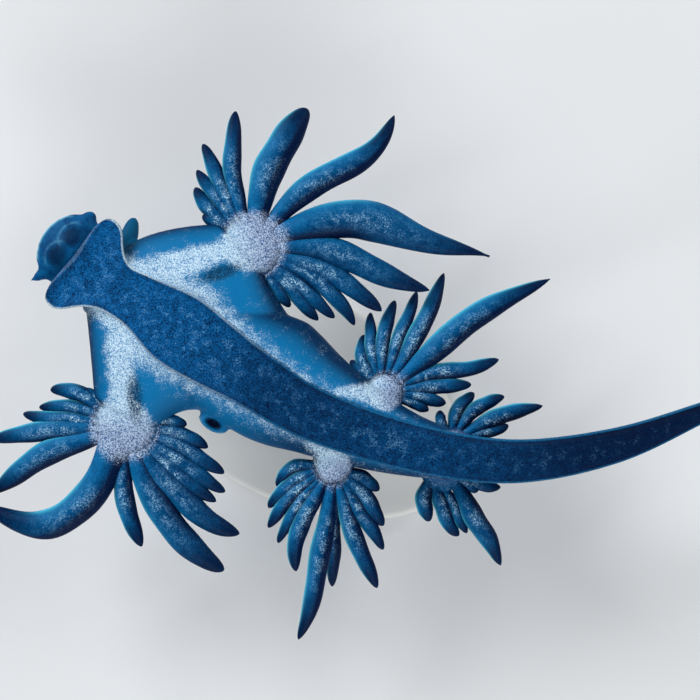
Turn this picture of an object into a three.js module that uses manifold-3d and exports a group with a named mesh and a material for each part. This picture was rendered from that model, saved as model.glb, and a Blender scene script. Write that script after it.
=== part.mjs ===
// A blue dragon sea slug (Glaucus atlanticus) at life size, floating belly up as it does in life, so the blue foot
// faces up, and held by a small display stand. Millimetres, +Z up, head towards -X and +Y. The origin is the centre
// of the stand's underside. The animal's left side is towards +Y.
import * as THREE from "three";
import { ParametricGeometry } from "three/addons/geometries/ParametricGeometry.js";
import { mergeVertices } from "three/addons/utils/BufferGeometryUtils.js";
import Module from "manifold-3d";

const wasm = await Module();
wasm.setup();

// Driving dimensions.
const GAP = 0.3; // clearance between neighbouring pieces
const MID_HEIGHT = 8; // the animal's middle plane above the table
const TAIL_END = 38.2; // from the foot's front edge to the tail's tip, along the midline
const FOOT_THICK = 0.55;
const FOOT_EDGE = 0.16; // how far the foot's rim stands above its sole
const TAIL_START = 22.6; // where the foot, narrower than the body until here, becomes the tail's own belly

// The foot's midline seen from above, from its front edge to the tail's tip.
const MIDLINE = [
  [-10.42, 6.95], [-7.68, 4.8], [-3.6, 1.82], [0.96, -0.72], [5.76, -2.25],
  [10.56, -2.95], [15.36, -2.26], [19.68, -0.65], [24.48, 1.54],
];

// Sizes along the midline, as [distance from the foot's front edge, value].
const FOOT_HALF = [
  [0, 2.05], [0.3, 2.5], [0.8, 2.55], [1.2, 2.35], [1.6, 1.92], [2, 1.56], [2.5, 1.32], [2.9, 1.27], [4.1, 1.38],
  [6, 1.74], [8.5, 1.63], [13.7, 1.27], [18.7, 1.14], [23.6, 1.06], [28.5, 0.86], [33.1, 0.5], [TAIL_END, 0.1],
];
const BODY_HALF = [
  [0, 1.35], [3, 1.75], [6, 2.45], [9, 2.9], [11.3, 3.15], [12.4, 3], [14, 2.56], [18.7, 1.55], [21.5, 1.15],
  [23.6, 0.95], [28.5, 0.74], [33.1, 0.44], [TAIL_END, 0.1],
];
const BODY_SHIFT = [
  [0, 0], [5, 0.15], [9, 0.55], [11.3, 0.75], [12.4, 0.72], [14, 0.64], [18.7, 0.08], [22, 0], [TAIL_END, 0],
];
const FOOT_SHIFT = [
  [0, 0], [2.2, 0], [4, 0.26], [6, 0.3], [9, 0.33], [11, 0.3], [13, 0.15], [16, 0.08], [20, 0.02], [TAIL_END, 0],
];
const FOOT_LEVEL = [[0, 1.3], [6, 1.75], [11, 1.85], [18.7, 1.5], [23.6, 1.25], [28.5, 1.15], [TAIL_END, 1.25]];
const BODY_DEPTH = [
  [0, 2.3], [3, 2.5], [6, 3.1], [11, 3.6], [13.7, 3.4], [18.7, 2.6], [23.6, 1.9], [28.5, 1.35],
  [33.1, 0.9], [TAIL_END, 0.3],
];
const WIDEST_AT = 0.42; // how far below the foot the body is widest, as a share of its depth
const BOXINESS = 0.85; // below 1 the body's section is squarer than an ellipse
const FOOT_BOXINESS = 0.7;
const FOOT_DISH = 3; // how late the sole rises to its rim, as a power of the share of the way out

// The body's lengths, as [name, first distance, last distance].
const NECK_START = 0.9;
const NECK_END = 3.6;
const LOBES_END = 3.4;
const BODY_LENGTHS = [
  ["neck", NECK_START, NECK_END],
  ["body_front", NECK_END, 10.6],
  ["body_middle", 10.6, 16.4],
  ["body_rear", 16.4, TAIL_START],
];
const FOOT_LENGTHS = [
  ["foot_front", 0, LOBES_END],
  ["foot_middle", LOBES_END, 12.6],
  ["foot_rear", 12.6, TAIL_START],
];
const TAIL_LENGTHS = [["tail_front", TAIL_START, 28], ["tail_middle", 28, 33], ["tail_tip", 33, TAIL_END]];

// Each arm ends in a rounded palm with a fan of cerata round its edge. Angles are in degrees from +X, seen from
// above, and lengths in millimetres. root is the angle on the palm where a ceras grows, heading and reach run
// straight from there to its tip, bow is how far it bends to its left of that line and hook how far it swings from
// left to right, as shares of its reach, and blunt is how full it stays towards its tip. parting holds the angles
// at which a palm is parted into the named fans, and droop is how far each fan's tips sink, as a share of reach. A
// stem is the web of flesh from the flank to the palm, between a leading and a trailing edge.
const ARMS = {
  left_front: {
    palm: { at: [-1.97, 7.39, 0.3], radius: 1.7, thick: 0.82 },
    parting: [90, -11, 222],
    fans: ["fore", "middle", "aft"],
    droop: [0.1, 0.05, 0.04],
    stem: {
      lead: [[-8.8, 6.6], [-7.7, 8.35], [-3.5, 8.5]],
      trail: [[0.6, 3.1], [-0.6, 4.7], [-1.34, 6.1]],
      level: 0.1,
      thick: [1.4, 1.3, 1.1, 0.8],
    },
    cerata: [
      { fan: 0, root: 144, heading: 150, reach: 1.07, width: 0.6 },
      { fan: 0, root: 138, heading: 128, reach: 2.25, width: 0.76, bow: 0.09 },
      { fan: 0, root: 127, heading: 123, reach: 2.86, width: 0.72, bow: 0 },
      { fan: 0, root: 117, heading: 114, reach: 3.84, width: 0.8, bow: -0.02 },
      { fan: 0, root: 103, heading: 93.5, reach: 5, width: 0.92, bow: 0.06 },
      { fan: 1, root: 76, heading: 65, reach: 5.6, width: 1.56, bow: 0.06, blunt: 1 },
      { fan: 1, root: 45, heading: 42, reach: 7.8, width: 1.3, bow: -0.035, hook: 0.045, blunt: 0.5 },
      { fan: 1, root: 20, heading: -6, reach: 10.1, width: 1.98, bow: 0.09, hook: 0.03, blunt: 0.08 },
      { fan: 1, root: -1, heading: -16, reach: 7.3, width: 1.36, bow: 0.04, hook: 0.03, blunt: 0.45 },
      { fan: 2, root: -20, heading: -28, reach: 5.4, width: 1, bow: 0.075 },
      { fan: 2, root: -28, heading: -40, reach: 4.65, width: 0.84, bow: 0.105 },
      { fan: 2, root: -37, heading: -41, reach: 3.65, width: 0.74 },
      { fan: 2, root: -46, heading: -48, reach: 3.15, width: 0.72 },
      { fan: 2, root: -58, heading: -54, reach: 1.8, width: 0.64, bow: -0.03 },
      { fan: 2, root: -68, heading: -75, reach: 0.83, width: 0.56 },
    ],
  },
  right_front: {
    palm: { at: [-7.97, -1.15, 0.3], radius: 1.73, thick: 0.82 },
    parting: [223, 277, 75],
    fans: ["fore", "middle", "aft"],
    droop: [0.2, 0.06, 0.12],
    stem: {
      lead: [[-10, 4.9], [-9.75, 3.1], [-9.5, 0.1]],
      trail: [[-3.6, -0.75], [-5.3, 0], [-6.5, -1.5]],
      level: 0.1,
      thick: [1.4, 1.3, 1.1, 0.8],
    },
    cerata: [
      { fan: 0, root: 137, heading: 153, reach: 1, width: 0.6 },
      { fan: 0, root: 150, heading: 162, reach: 2.35, width: 0.8, bow: -0.13 },
      { fan: 0, root: 161, heading: 176, reach: 2.67, width: 0.68, bow: -0.06 },
      { fan: 0, root: 172, heading: 177, reach: 3.4, width: 0.76, bow: 0.04 },
      { fan: 0, root: 190, heading: 186, reach: 5.25, width: 1, bow: -0.015, blunt: 0.5 },
      { fan: 0, root: 210, heading: 207, reach: 5.95, width: 1.24, bow: -0.067, blunt: 0.5 },
      { fan: 1, root: 239, heading: 202, reach: 6.6, width: 1.5, bow: 0.35, blunt: 0.5 },
      { fan: 1, root: 266, heading: 281, reach: 4.35, width: 0.96, bow: -0.064 },
      { fan: 2, root: 288, heading: 307, reach: 6.95, width: 1.4, bow: -0.118, blunt: 0.9 },
      { fan: 2, root: 304, heading: 318, reach: 6, width: 1.2, bow: -0.1 },
      { fan: 2, root: 315, heading: 320, reach: 4.05, width: 0.84, bow: -0.05 },
      { fan: 2, root: 325, heading: 325, reach: 4.1, width: 0.84, bow: -0.02 },
      { fan: 2, root: 337, heading: 330, reach: 3.6, width: 0.8, bow: 0.03 },
      { fan: 2, root: 349, heading: 339, reach: 2.4, width: 0.74, bow: 0.06 },
      { fan: 2, root: 360, heading: 355, reach: 1.2, width: 0.6, bow: 0.12 },
    ],
  },
  left_middle: {
    palm: { at: [4.56, 0.38, -0.1], radius: 1, thick: 0.62 },
    parting: [49, 236],
    fans: ["fore", "aft"],
    droop: [0.3, 0.07],
    cerata: [
      { fan: 0, root: 146, heading: 131, reach: 1.25, width: 0.58 },
      { fan: 0, root: 133, heading: 98, reach: 2.05, width: 0.66, bow: 0.15 },
      { fan: 0, root: 120, heading: 93, reach: 3, width: 0.64, bow: 0.03 },
      { fan: 0, root: 107, heading: 77, reach: 3.6, width: 0.74, bow: 0.04 },
      { fan: 0, root: 86, heading: 68, reach: 4.2, width: 0.7, bow: 0 },
      { fan: 0, root: 64, heading: 63, reach: 5.55, width: 0.92, bow: -0.045, blunt: 0.6 },
      { fan: 1, root: 35, heading: 34, reach: 8.8, width: 1.3, bow: 0.045, hook: -0.01, blunt: 0.35 },
      { fan: 1, root: 17, heading: 15, reach: 4.8, width: 0.82, bow: 0.015, hook: 0.02 },
      { fan: 1, root: 4, heading: 5, reach: 3.25, width: 0.8 },
      { fan: 1, root: -11, heading: -11, reach: 2.05, width: 0.72, bow: 0.02 },
      { fan: 1, root: -28, heading: -20, reach: 1.35, width: 0.58, bow: 0.03 },
    ],
  },
  right_middle: {
    palm: { at: [2.02, -3.22, -0.1], radius: 1, thick: 0.62 },
    parting: [254, 283, 80],
    fans: ["fore", "middle", "aft"],
    droop: [0.14, 0.12, 0.14],
    cerata: [
      { fan: 0, root: 180, heading: 212, reach: 2, width: 0.68, bow: -0.21 },
      { fan: 0, root: 193, heading: 221, reach: 2.85, width: 0.74, bow: -0.065 },
      { fan: 0, root: 208, heading: 229, reach: 3.45, width: 0.74, bow: -0.053 },
      { fan: 0, root: 222, heading: 239, reach: 3.7, width: 0.66, bow: -0.04 },
      { fan: 0, root: 241, heading: 253, reach: 4.55, width: 0.92, bow: -0.08, hook: 0.019 },
      { fan: 1, root: 268, heading: 258, reach: 7.8, width: 1.02, bow: 0.035, blunt: 0.7 },
      { fan: 1, root: 274, heading: 269, reach: 5.15, width: 0.8, bow: 0.01, droop: 0.36 },
      { fan: 2, root: 293, heading: 289, reach: 5.45, width: 0.92, bow: -0.02 },
      { fan: 2, root: 306, heading: 300, reach: 3.85, width: 0.78 },
      { fan: 2, root: 320, heading: 306, reach: 2.9, width: 0.82, bow: 0.045 },
      { fan: 2, root: 338, heading: 327, reach: 1.6, width: 0.72, bow: 0.05 },
    ],
  },
  left_rear: {
    palm: { at: [7.95, -2.08, -0.6], radius: 0.78, thick: 0.5 },
    parting: [],
    fans: ["whole"],
    droop: [0.16],
    cerata: [
      { fan: 0, root: 125, heading: 102, reach: 0.9, width: 0.56, bow: 0.1 },
      { fan: 0, root: 102, heading: 53, reach: 2, width: 0.72, bow: 0.1 },
      { fan: 0, root: 72, heading: 32, reach: 2.7, width: 0.74, bow: 0.1 },
      { fan: 0, root: 34, heading: 19, reach: 4, width: 0.88, bow: 0.045, blunt: 0.5 },
      { fan: 0, root: 12, heading: 17, reach: 2.05, width: 0.68 },
    ],
  },
  right_rear: {
    palm: { at: [7.42, -3.52, -0.7], radius: 1.08, thick: 0.55 },
    parting: [],
    fans: ["whole"],
    droop: [0.14],
    cerata: [
      { fan: 0, root: 209, heading: 280, reach: 2, width: 0.84, bow: -0.1 },
      { fan: 0, root: 232, heading: 302, reach: 2.8, width: 0.82, bow: -0.06 },
      { fan: 0, root: 270, heading: 301, reach: 2.35, width: 0.6 },
      { fan: 0, root: 323, heading: 297, reach: 4.55, width: 1.06, bow: 0.01, blunt: 0.5 },
      { fan: 0, root: 333, heading: 326, reach: 0.95, width: 0.56 },
      { fan: 0, root: 346, heading: 343, reach: 1.9, width: 0.64, bow: -0.1 },
    ],
  },
};

// A ceras is narrow at its root, widest at its belly and drawn out to its tip.
const CERAS = { root: 0.58, belly: 0.34, flat: 0.78, thinnest: 0.25, blunt: 0.8, sink: 0.35, tip: 0.08 };

// The meshes: how far apart the rings of a long form lie, and each form's [sides, rings].
const BODY_STEP = 1.3;
const LOBE_STEP = 0.34;
const BODY_SIDES = 18;
const FOOT_SIDES = 12;
const TAIL_SIDES = { body: 12, foot: 10 };
const FACES = {
  skull: [16, 10], bump: [10, 6], pit: [8, 6], palm: [16, 8], web: [12, 6], feeler: 10, rod: 16, plate: 16,
  ceras: { small: [6, 4], plain: [6, 6], big: [8, 8] },
};
const CERAS_SMALL = { width: 0.65, reach: 3 }; // within these a ceras gets fewer faces
const CERAS_BIG = 0.9; // a ceras wider than this gets more
const NUDGE = 0.01; // the share of a path on either side of a point that gives its direction
const MERGE_WITHIN = 1e-4; // corners closer than this are one
const MIDLINE_DIVISIONS = 800;

// Head, seen from the neck: how far its pieces lie ahead of the foot's front edge, to its left and above the middle.
const HEAD = { ahead: 0.38, aside: 0.1, level: 0.1, size: [1.52, 1.85, 1.15] };
const CHEEK = { ahead: 0.58, aside: 0.62, level: 0.78, size: [0.6, 0.56, 0.62] };
const MOUTH = { ahead: 0.72, level: 1.35, size: [0.66, 0.14, 0.62] };
const ORAL_TENTACLE = { ahead: 0.55, aside: 1.3, level: 0.2, length: 1.05, radius: 0.46, spread: 84, taper: 0.85 };
const RHINOPHORE = { back: 2, aside: 1.1, level: -0.25, length: 2.3, radius: 0.52, spread: 67, taper: 0.4 };
const RHINOPHORE_DIP = { left: -0.05, right: -1.7 };
const PAPILLA = {
  at: [-3.72, -1.12, 0.35], size: [0.78, 0.42, 0.5], pit: [0.5, 0.24, 0.4], pitAt: [0.04, -0.03, 0.3], turn: -30,
};
const FEELER_SINK = 0.35; // how far a feeler starts inside what it grows from
const FEELER_RINGS = [0.35, 0.7, 0.92]; // where along a feeler its cone has rings
const PARTING = { beyond: 0.9, height: 6 }; // how far a cut that parts a palm runs past its rim, and its height

// The stand: an oval base turned to lie under the body, with two rods up to the animal's back.
const BASE = { length: 19, width: 11, thick: 1.6, turn: -27, edge: 0.3 };
const ROD_RADIUS = 0.45;
const RODS = { front: 8.4, rear: 17.6 }; // distances along the midline
const FINISH = {
  foot: { color: 0x123a6e, roughness: 0.42 },
  skin: { color: 0x7fb2d6, roughness: 0.38 },
  cerata: { color: 0x1b5c93, roughness: 0.36 },
  base: { color: 0xe4e4e2, roughness: 0.5 },
  rod: { color: 0xb9bcc0, roughness: 0.3, metalness: 1 },
};

const radians = THREE.MathUtils.degToRad;
const midline = new THREE.CatmullRomCurve3(
  MIDLINE.map(([x, y]) => new THREE.Vector3(x, y, 0)), false, "catmullrom", 0.5,
);
midline.arcLengthDivisions = MIDLINE_DIVISIONS;

/** The value of a [distance, value] table at a distance, eased by a cubic through its entries. */
function sizeAt(table, distance) {
  const last = table.length - 1;
  const i = THREE.MathUtils.clamp(table.findIndex(([d]) => d > distance) - 1, 0, last - 1);
  const k = distance >= table[last][0] ? last - 1 : i;
  const slope = (n) => {
    const [a, b] = [table[Math.max(n - 1, 0)], table[Math.min(n + 1, last)]];
    return (b[1] - a[1]) / (b[0] - a[0]);
  };
  const span = table[k + 1][0] - table[k][0];
  const t = THREE.MathUtils.clamp((distance - table[k][0]) / span, 0, 1);
  const [t2, t3] = [t * t, t * t * t];
  return (
    (2 * t3 - 3 * t2 + 1) * table[k][1] + (t3 - 2 * t2 + t) * span * slope(k) +
    (3 * t2 - 2 * t3) * table[k + 1][1] + (t3 - t2) * span * slope(k + 1)
  );
}

/** The midline's point at a distance, its direction, and the level direction to the animal's left. */
function station(distance) {
  const u = THREE.MathUtils.clamp(distance / midline.getLength(), 0, 1);
  const along = midline.getTangentAt(u);
  const point = midline.getPointAt(u).addScaledVector(along, Math.min(distance, 0));
  return { point, along, left: new THREE.Vector3(-along.y, along.x, 0) };
}

/** A point beside the midline: distance along it, to the animal's left, and above the middle plane. */
function beside(distance, aside, level) {
  const { point, left } = station(distance);
  return point.addScaledVector(left, aside).setZ(level);
}

/** A closed geometry as a solid with its faces turned out. */
function solid(geometry) {
  const bare = new THREE.BufferGeometry().setAttribute("position", geometry.getAttribute("position"));
  bare.setIndex(geometry.index);
  const merged = mergeVertices(bare, MERGE_WITHIN);
  const corners = Array.from(merged.index.array);
  const triangles = [];
  for (let i = 0; i < corners.length; i += 3) {
    const [a, b, c] = corners.slice(i, i + 3);
    if (a !== b && b !== c && c !== a) triangles.push([a, b, c]);
  }
  const vertProperties = new Float32Array(merged.attributes.position.array);
  const make = (faces) =>
    new wasm.Manifold(new wasm.Mesh({ numProp: 3, vertProperties, triVerts: new Uint32Array(faces.flat()) }));
  const made = make(triangles);
  return made.volume() < 0 ? make(triangles.map(([a, b, c]) => [a, c, b])) : made;
}

/** A solid swept through rings: ring(t, turn, target) places a point of the ring at t, and both ends close flat. */
function sweep(ring, sides, steps, middle) {
  const place = (u, v, target) => {
    const row = Math.round(v * (steps + 2));
    const t = THREE.MathUtils.clamp((row - 1) / steps, 0, 1);
    if (row === 0 || row === steps + 2) target.copy(middle(t));
    else ring(t, 2 * Math.PI * (Math.round(u * sides) % sides) / sides, target);
  };
  return solid(new ParametricGeometry(place, sides, steps + 2));
}

/** An ellipsoid with its half sizes along its own axes, turned about Z. */
function ellipsoid(center, [a, b, c], turn, [sides, rings]) {
  const shape = new THREE.SphereGeometry(1, sides, rings).rotateX(Math.PI / 2).scale(a, b, c);
  return solid(shape.rotateZ(radians(turn)).translate(...center));
}

/** A cosine or sine squared off by an exponent. */
const squared = (x, power) => Math.sign(x) * Math.abs(x) ** power;

/** A length of the body, its belly up, grown outwards by grow. */
function bodyLength(first, last, grow = 0, sides = BODY_SIDES) {
  const reach = last - first;
  const steps = Math.max(2, Math.round(reach / BODY_STEP));
  const from = first - grow;
  const ring = (t, turn, target) => {
    const d = from + (reach + 2 * grow) * t;
    const depth = sizeAt(BODY_DEPTH, d);
    const level = sizeAt(FOOT_LEVEL, d) - WIDEST_AT * depth;
    const rise = (Math.sin(turn) > 0 ? WIDEST_AT : 1 - WIDEST_AT) * depth + grow;
    const aside = sizeAt(BODY_SHIFT, d) + (sizeAt(BODY_HALF, d) + grow) * squared(Math.cos(turn), BOXINESS);
    target.copy(beside(d, aside, level + rise * squared(Math.sin(turn), BOXINESS)));
  };
  const middle = (t) => {
    const d = from + (reach + 2 * grow) * t;
    return beside(d, sizeAt(BODY_SHIFT, d), sizeAt(FOOT_LEVEL, d) - WIDEST_AT * sizeAt(BODY_DEPTH, d));
  };
  return sweep(ring, sides, steps, middle);
}

/** A length of the foot: a strip with a rounded rim a little above its sole. */
function footLength(first, last, grow = 0, sides = FOOT_SIDES) {
  const reach = last - first;
  const steps = Math.round(reach / (first === 0 ? LOBE_STEP : BODY_STEP));
  const at = (t) => first - grow + (reach + 2 * grow) * t;
  const ring = (t, turn, target) => {
    const d = at(t);
    const half = sizeAt(FOOT_HALF, Math.max(d, 0)) + grow;
    const across = squared(Math.cos(turn), FOOT_BOXINESS);
    const dish = FOOT_EDGE * (Math.sin(turn) > 0 ? Math.abs(across) ** FOOT_DISH : 0);
    const level = sizeAt(FOOT_LEVEL, d) - FOOT_THICK / 2 + dish;
    const rise = (FOOT_THICK / 2 + grow) * squared(Math.sin(turn), FOOT_BOXINESS);
    target.copy(beside(d, sizeAt(FOOT_SHIFT, d) + half * across, level + rise));
  };
  const middle = (t) => beside(at(t), sizeAt(FOOT_SHIFT, at(t)), sizeAt(FOOT_LEVEL, at(t)) - FOOT_THICK / 2);
  return sweep(ring, sides, steps, middle);
}

/** The web of flesh from the flank out to a palm, between its leading and trailing edges. */
function stemOf({ lead, trail, level, thick }, palm, grow = 0) {
  const edge = (points) => new THREE.QuadraticBezierCurve3(...points.map(([x, y]) => new THREE.Vector3(x, y, level)));
  const [leading, trailing] = [edge(lead), edge(trail)];
  const depth = thick.map((value, i) => [i / (thick.length - 1), value]);
  const height = (t) => THREE.MathUtils.lerp(level, palm.at[2], t);
  const middle = (t) => leading.getPoint(t).lerp(trailing.getPoint(t), 0.5).setZ(height(t));
  const ring = (t, angle, target) => {
    const across = leading.getPoint(t).sub(trailing.getPoint(t)).multiplyScalar(0.5);
    target.copy(middle(t)).addScaledVector(across.clone().normalize(), (across.length() + grow) * Math.cos(angle));
    target.z += (sizeAt(depth, t) + grow) * Math.sin(angle);
  };
  return sweep(ring, ...FACES.web, middle);
}

/** A level vector with a length at an angle from +X. */
const ray = (angle, length) =>
  new THREE.Vector3(Math.cos(radians(angle)), Math.sin(radians(angle)), 0).multiplyScalar(length);

/** Half a ceras's width at t along it, as a share of its half width at the belly. */
function ceraSwell(t, blunt) {
  if (t < CERAS.belly) return CERAS.root + (1 - CERAS.root) * Math.sin((Math.PI / 2) * (t / CERAS.belly));
  const past = Math.min((t - CERAS.belly) / (1 - CERAS.belly), 1);
  return Math.max((1 - past ** (1 + 2 * blunt)) ** (1 / (1 + blunt)), CERAS.tip);
}

/** The sides and steps of a ceras's mesh. */
function cerasFaces({ width, reach }) {
  if (width < CERAS_SMALL.width || reach < CERAS_SMALL.reach) return FACES.ceras.small;
  return width > CERAS_BIG ? FACES.ceras.big : FACES.ceras.plain;
}

/** One ceras: it grows out of its palm's rim, bows towards its tip and sinks a little on the way. */
function ceras(palm, spec, fanDroop, grow = 0) {
  const { root, heading, reach, width, bow = 0, hook = 0, blunt = CERAS.blunt, droop = fanDroop } = spec;
  const [chord, aside] = [ray(heading, reach), ray(heading + 90, reach)];
  const edge = new THREE.Vector3(...palm.at).add(ray(root, palm.radius));
  const start = edge.clone().sub(ray(root, CERAS.sink * palm.radius));
  const bend = edge.clone().addScaledVector(chord, 0.5).addScaledVector(aside, 2 * bow);
  const tip = edge.clone().add(chord).setZ(palm.at[2] - droop * reach);
  const path = new THREE.QuadraticBezierCurve3(start, bend, tip);
  const place = (t) => path.getPoint(t).addScaledVector(aside, hook * Math.sin(2 * Math.PI * t));
  const ring = (t, angle, target) => {
    const along = place(Math.min(t + NUDGE, 1)).sub(place(Math.max(t - NUDGE, 0))).normalize();
    const left = new THREE.Vector3(-along.y, along.x, 0).normalize();
    const up = new THREE.Vector3().crossVectors(along, left);
    const swell = ceraSwell(t, blunt);
    const half = (width / 2) * swell;
    const thick = Math.max(CERAS.flat * half, Math.min(half, CERAS.thinnest * swell));
    target.copy(place(t)).addScaledVector(left, (half + grow) * Math.cos(angle));
    target.addScaledVector(up, (thick + grow) * Math.sin(angle));
    if (t === 1) target.addScaledVector(along, grow);
  };
  const [sides, steps] = cerasFaces(spec);
  return sweep(ring, sides, steps, (t) => place(t).add(ray(heading, t === 1 ? grow : 0)));
}

/** An upright slab from a palm's centre outwards, which parts the palm. */
function partingCut(palm, angle) {
  const length = palm.radius + PARTING.beyond;
  const slab = new THREE.BoxGeometry(length, GAP, PARTING.height).translate(length / 2 - GAP / 2, 0, 0);
  return solid(slab.rotateZ(radians(angle)).translate(...palm.at));
}

/** A blunt or pointed cone along a direction, for the head's feelers. */
function feeler(from, direction, { length, radius, taper }, grow = 0) {
  const outline = [new THREE.Vector2(0, -FEELER_SINK - grow), new THREE.Vector2(radius + grow, -FEELER_SINK - grow)];
  for (const t of FEELER_RINGS) {
    outline.push(new THREE.Vector2((radius + grow) * (1 - taper * t), t * (length + grow)));
  }
  outline.push(new THREE.Vector2(0, length + grow));
  const aim = new THREE.Quaternion().setFromUnitVectors(new THREE.Vector3(0, 1, 0), direction);
  return solid(new THREE.LatheGeometry(outline, FACES.feeler).applyQuaternion(aim).translate(...from.toArray()));
}

/** The largest closed body of a solid. */
function largest(shape) {
  return shape.decompose().reduce((a, b) => (a.volume() > b.volume() ? a : b));
}

const union = (shapes) => wasm.Manifold.union(shapes);
const parts = [];

/** Adds a part, cut clear of what it grows from and touches. */
function add(name, finish, shape, clearOf = []) {
  const cut = clearOf.length ? shape.subtract(union(clearOf)) : shape;
  parts.push({ name, finish, shape: largest(cut) });
}

// Grown copies of the whole foot, body and neck, for cutting others clear.
const grownFoot = union([footLength(0, LOBES_END, GAP), footLength(LOBES_END, TAIL_START, GAP)]);
const grownBody = union([bodyLength(NECK_START, TAIL_START, GAP), bodyLength(TAIL_START, TAIL_END, GAP)]);
const grownNeck = bodyLength(NECK_START, NECK_END, GAP);

for (const [name, first, last] of FOOT_LENGTHS) {
  add(name, FINISH.foot, footLength(first + (first ? GAP / 2 : 0), last - GAP / 2));
}
for (const [name, first, last] of BODY_LENGTHS) {
  add(name, FINISH.skin, bodyLength(first + GAP / 2, last - GAP / 2), [grownFoot]);
}
for (const [name, first, last] of TAIL_LENGTHS) {
  const end = last === TAIL_END ? last : last - GAP / 2;
  add(name, FINISH.foot, union([
    bodyLength(first + GAP / 2, end, 0, TAIL_SIDES.body), footLength(first + GAP / 2, end, 0, TAIL_SIDES.foot),
  ]));
}

/** A point of the head, ahead of the foot's front edge and to the left of the head's own middle. */
const headPoint = (ahead, aside, level) => beside(-ahead, HEAD.aside + aside, level);
const facing = station(0);
const headTurn = THREE.MathUtils.radToDeg(Math.atan2(facing.along.y, facing.along.x));
const headForm = ({ ahead, level, size }, aside, faces, grow) =>
  ellipsoid(headPoint(ahead, aside, level), size.map((s) => s + grow), headTurn, faces);
const skull = (grow) => headForm(HEAD, 0, FACES.skull, grow);
const cheeks = (grow) => [1, -1].map((side) => headForm(CHEEK, side * CHEEK.aside, FACES.bump, grow));
const mouth = headForm(MOUTH, 0, FACES.pit, 0);
const grownHead = union([skull(GAP), ...cheeks(GAP)]);
add("head", FINISH.skin, union([skull(0), ...cheeks(0)]), [mouth, grownFoot, grownNeck]);

/** A direction forward of the head, spread by an angle to one side and dipped. */
function headAim(spread, sign, dip = 0) {
  const level = facing.left.clone().multiplyScalar(sign * Math.sin(radians(spread)));
  return level.addScaledVector(facing.along, -Math.cos(radians(spread))).setZ(dip).normalize();
}

const horns = [];
for (const [side, sign] of [["left", 1], ["right", -1]]) {
  const { ahead, aside, level, spread } = ORAL_TENTACLE;
  add(`oral_tentacle_${side}`, FINISH.skin,
    feeler(headPoint(ahead, sign * aside, level), headAim(spread, sign), ORAL_TENTACLE), [grownHead, grownFoot]);
  const horn = (grow) => feeler(
    beside(RHINOPHORE.back, sign * RHINOPHORE.aside, RHINOPHORE.level),
    headAim(RHINOPHORE.spread, sign, RHINOPHORE_DIP[side]), RHINOPHORE, grow,
  );
  add(`rhinophore_${side}`, FINISH.skin, horn(0), [grownHead, grownFoot, grownNeck]);
  horns.push(horn(GAP));
}

// The papilla on the right flank, with the pit that its opening shows.
const papilla = (grow) => ellipsoid(PAPILLA.at, PAPILLA.size.map((s) => s + grow), PAPILLA.turn, FACES.bump);
const pitCenter = PAPILLA.at.map((value, i) => value + PAPILLA.pitAt[i]);
const pit = ellipsoid(pitCenter, PAPILLA.pit, PAPILLA.turn, FACES.pit);
const grownPapilla = papilla(GAP);

const grownArms = [];
for (const [place, { palm, cerata, parting, fans, droop, stem }] of Object.entries(ARMS)) {
  const palmSize = [palm.radius, palm.radius, palm.thick];
  const hub = (grow) => ellipsoid(palm.at, palmSize.map((s) => s + grow), 0, FACES.palm);
  const cuts = parting.map((angle) => partingCut(palm, angle));
  const fingers = (fan) => cerata.filter((spec) => spec.fan === fan);
  const shapes = (fan, grow) => fingers(fan).map((spec) => ceras(palm, spec, droop[fan], grow));
  const grown = fans.map((_, fan) => union(shapes(fan, GAP)));
  const pieces = cuts.length ? hub(0).subtract(union(cuts)).decompose() : [hub(0)];
  fans.forEach((name, fan) => {
    const cones = union(shapes(fan, 0));
    const overlap = (piece) => cones.intersect(piece).volume();
    const sector = pieces.reduce((a, b) => (overlap(a) > overlap(b) ? a : b));
    const clear = [grownBody, grownFoot, grownPapilla, ...cuts, ...grown.slice(0, fan), ...grownArms];
    const node = fans.length > 1 ? `cerata_${place}_${name}` : `cerata_${place}`;
    add(node, FINISH.cerata, union([sector, cones]), clear);
  });
  const grownArm = union([...grown, hub(GAP)]);
  if (stem) {
    const web = stemOf(stem, palm);
    add(`arm_${place}`, FINISH.skin, web, [grownBody, grownFoot, grownHead, grownArm, grownPapilla, ...horns]);
    grownArms.push(stemOf(stem, palm, GAP));
  }
  grownArms.push(grownArm);
}
add("genital_papilla", FINISH.skin, papilla(0), [pit, grownBody, grownFoot]);

const floorLevel = -MID_HEIGHT;
const oval = new THREE.Shape();
oval.absellipse(0, 0, BASE.length / 2 - BASE.edge, BASE.width / 2 - BASE.edge, 0, 2 * Math.PI);
const plate = new THREE.ExtrudeGeometry(oval, {
  depth: BASE.thick - 2 * BASE.edge,
  bevelThickness: BASE.edge,
  bevelSize: BASE.edge,
  bevelSegments: 1,
  curveSegments: FACES.plate,
});
add("stand_base", FINISH.base, solid(plate.rotateZ(radians(BASE.turn)).translate(0, 0, floorLevel + BASE.edge)));
for (const [name, distance] of Object.entries(RODS)) {
  const foot = beside(distance, sizeAt(BODY_SHIFT, distance), floorLevel + BASE.thick + GAP);
  const height = -foot.z;
  const rod = new THREE.CylinderGeometry(ROD_RADIUS, ROD_RADIUS, height, FACES.rod).rotateX(Math.PI / 2);
  add(`stand_rod_${name}`, FINISH.rod, solid(rod.translate(foot.x, foot.y, foot.z + height / 2)), [grownBody]);
}

/** A solid as a mesh with its own material. */
function meshOf({ name, finish, shape }) {
  const { vertProperties, triVerts } = shape.getMesh();
  const geometry = new THREE.BufferGeometry();
  geometry.setAttribute("position", new THREE.BufferAttribute(vertProperties, 3));
  geometry.setIndex(new THREE.BufferAttribute(triVerts, 1));
  const made = new THREE.Mesh(geometry, new THREE.MeshStandardMaterial(finish));
  made.name = name;
  return made;
}

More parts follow.
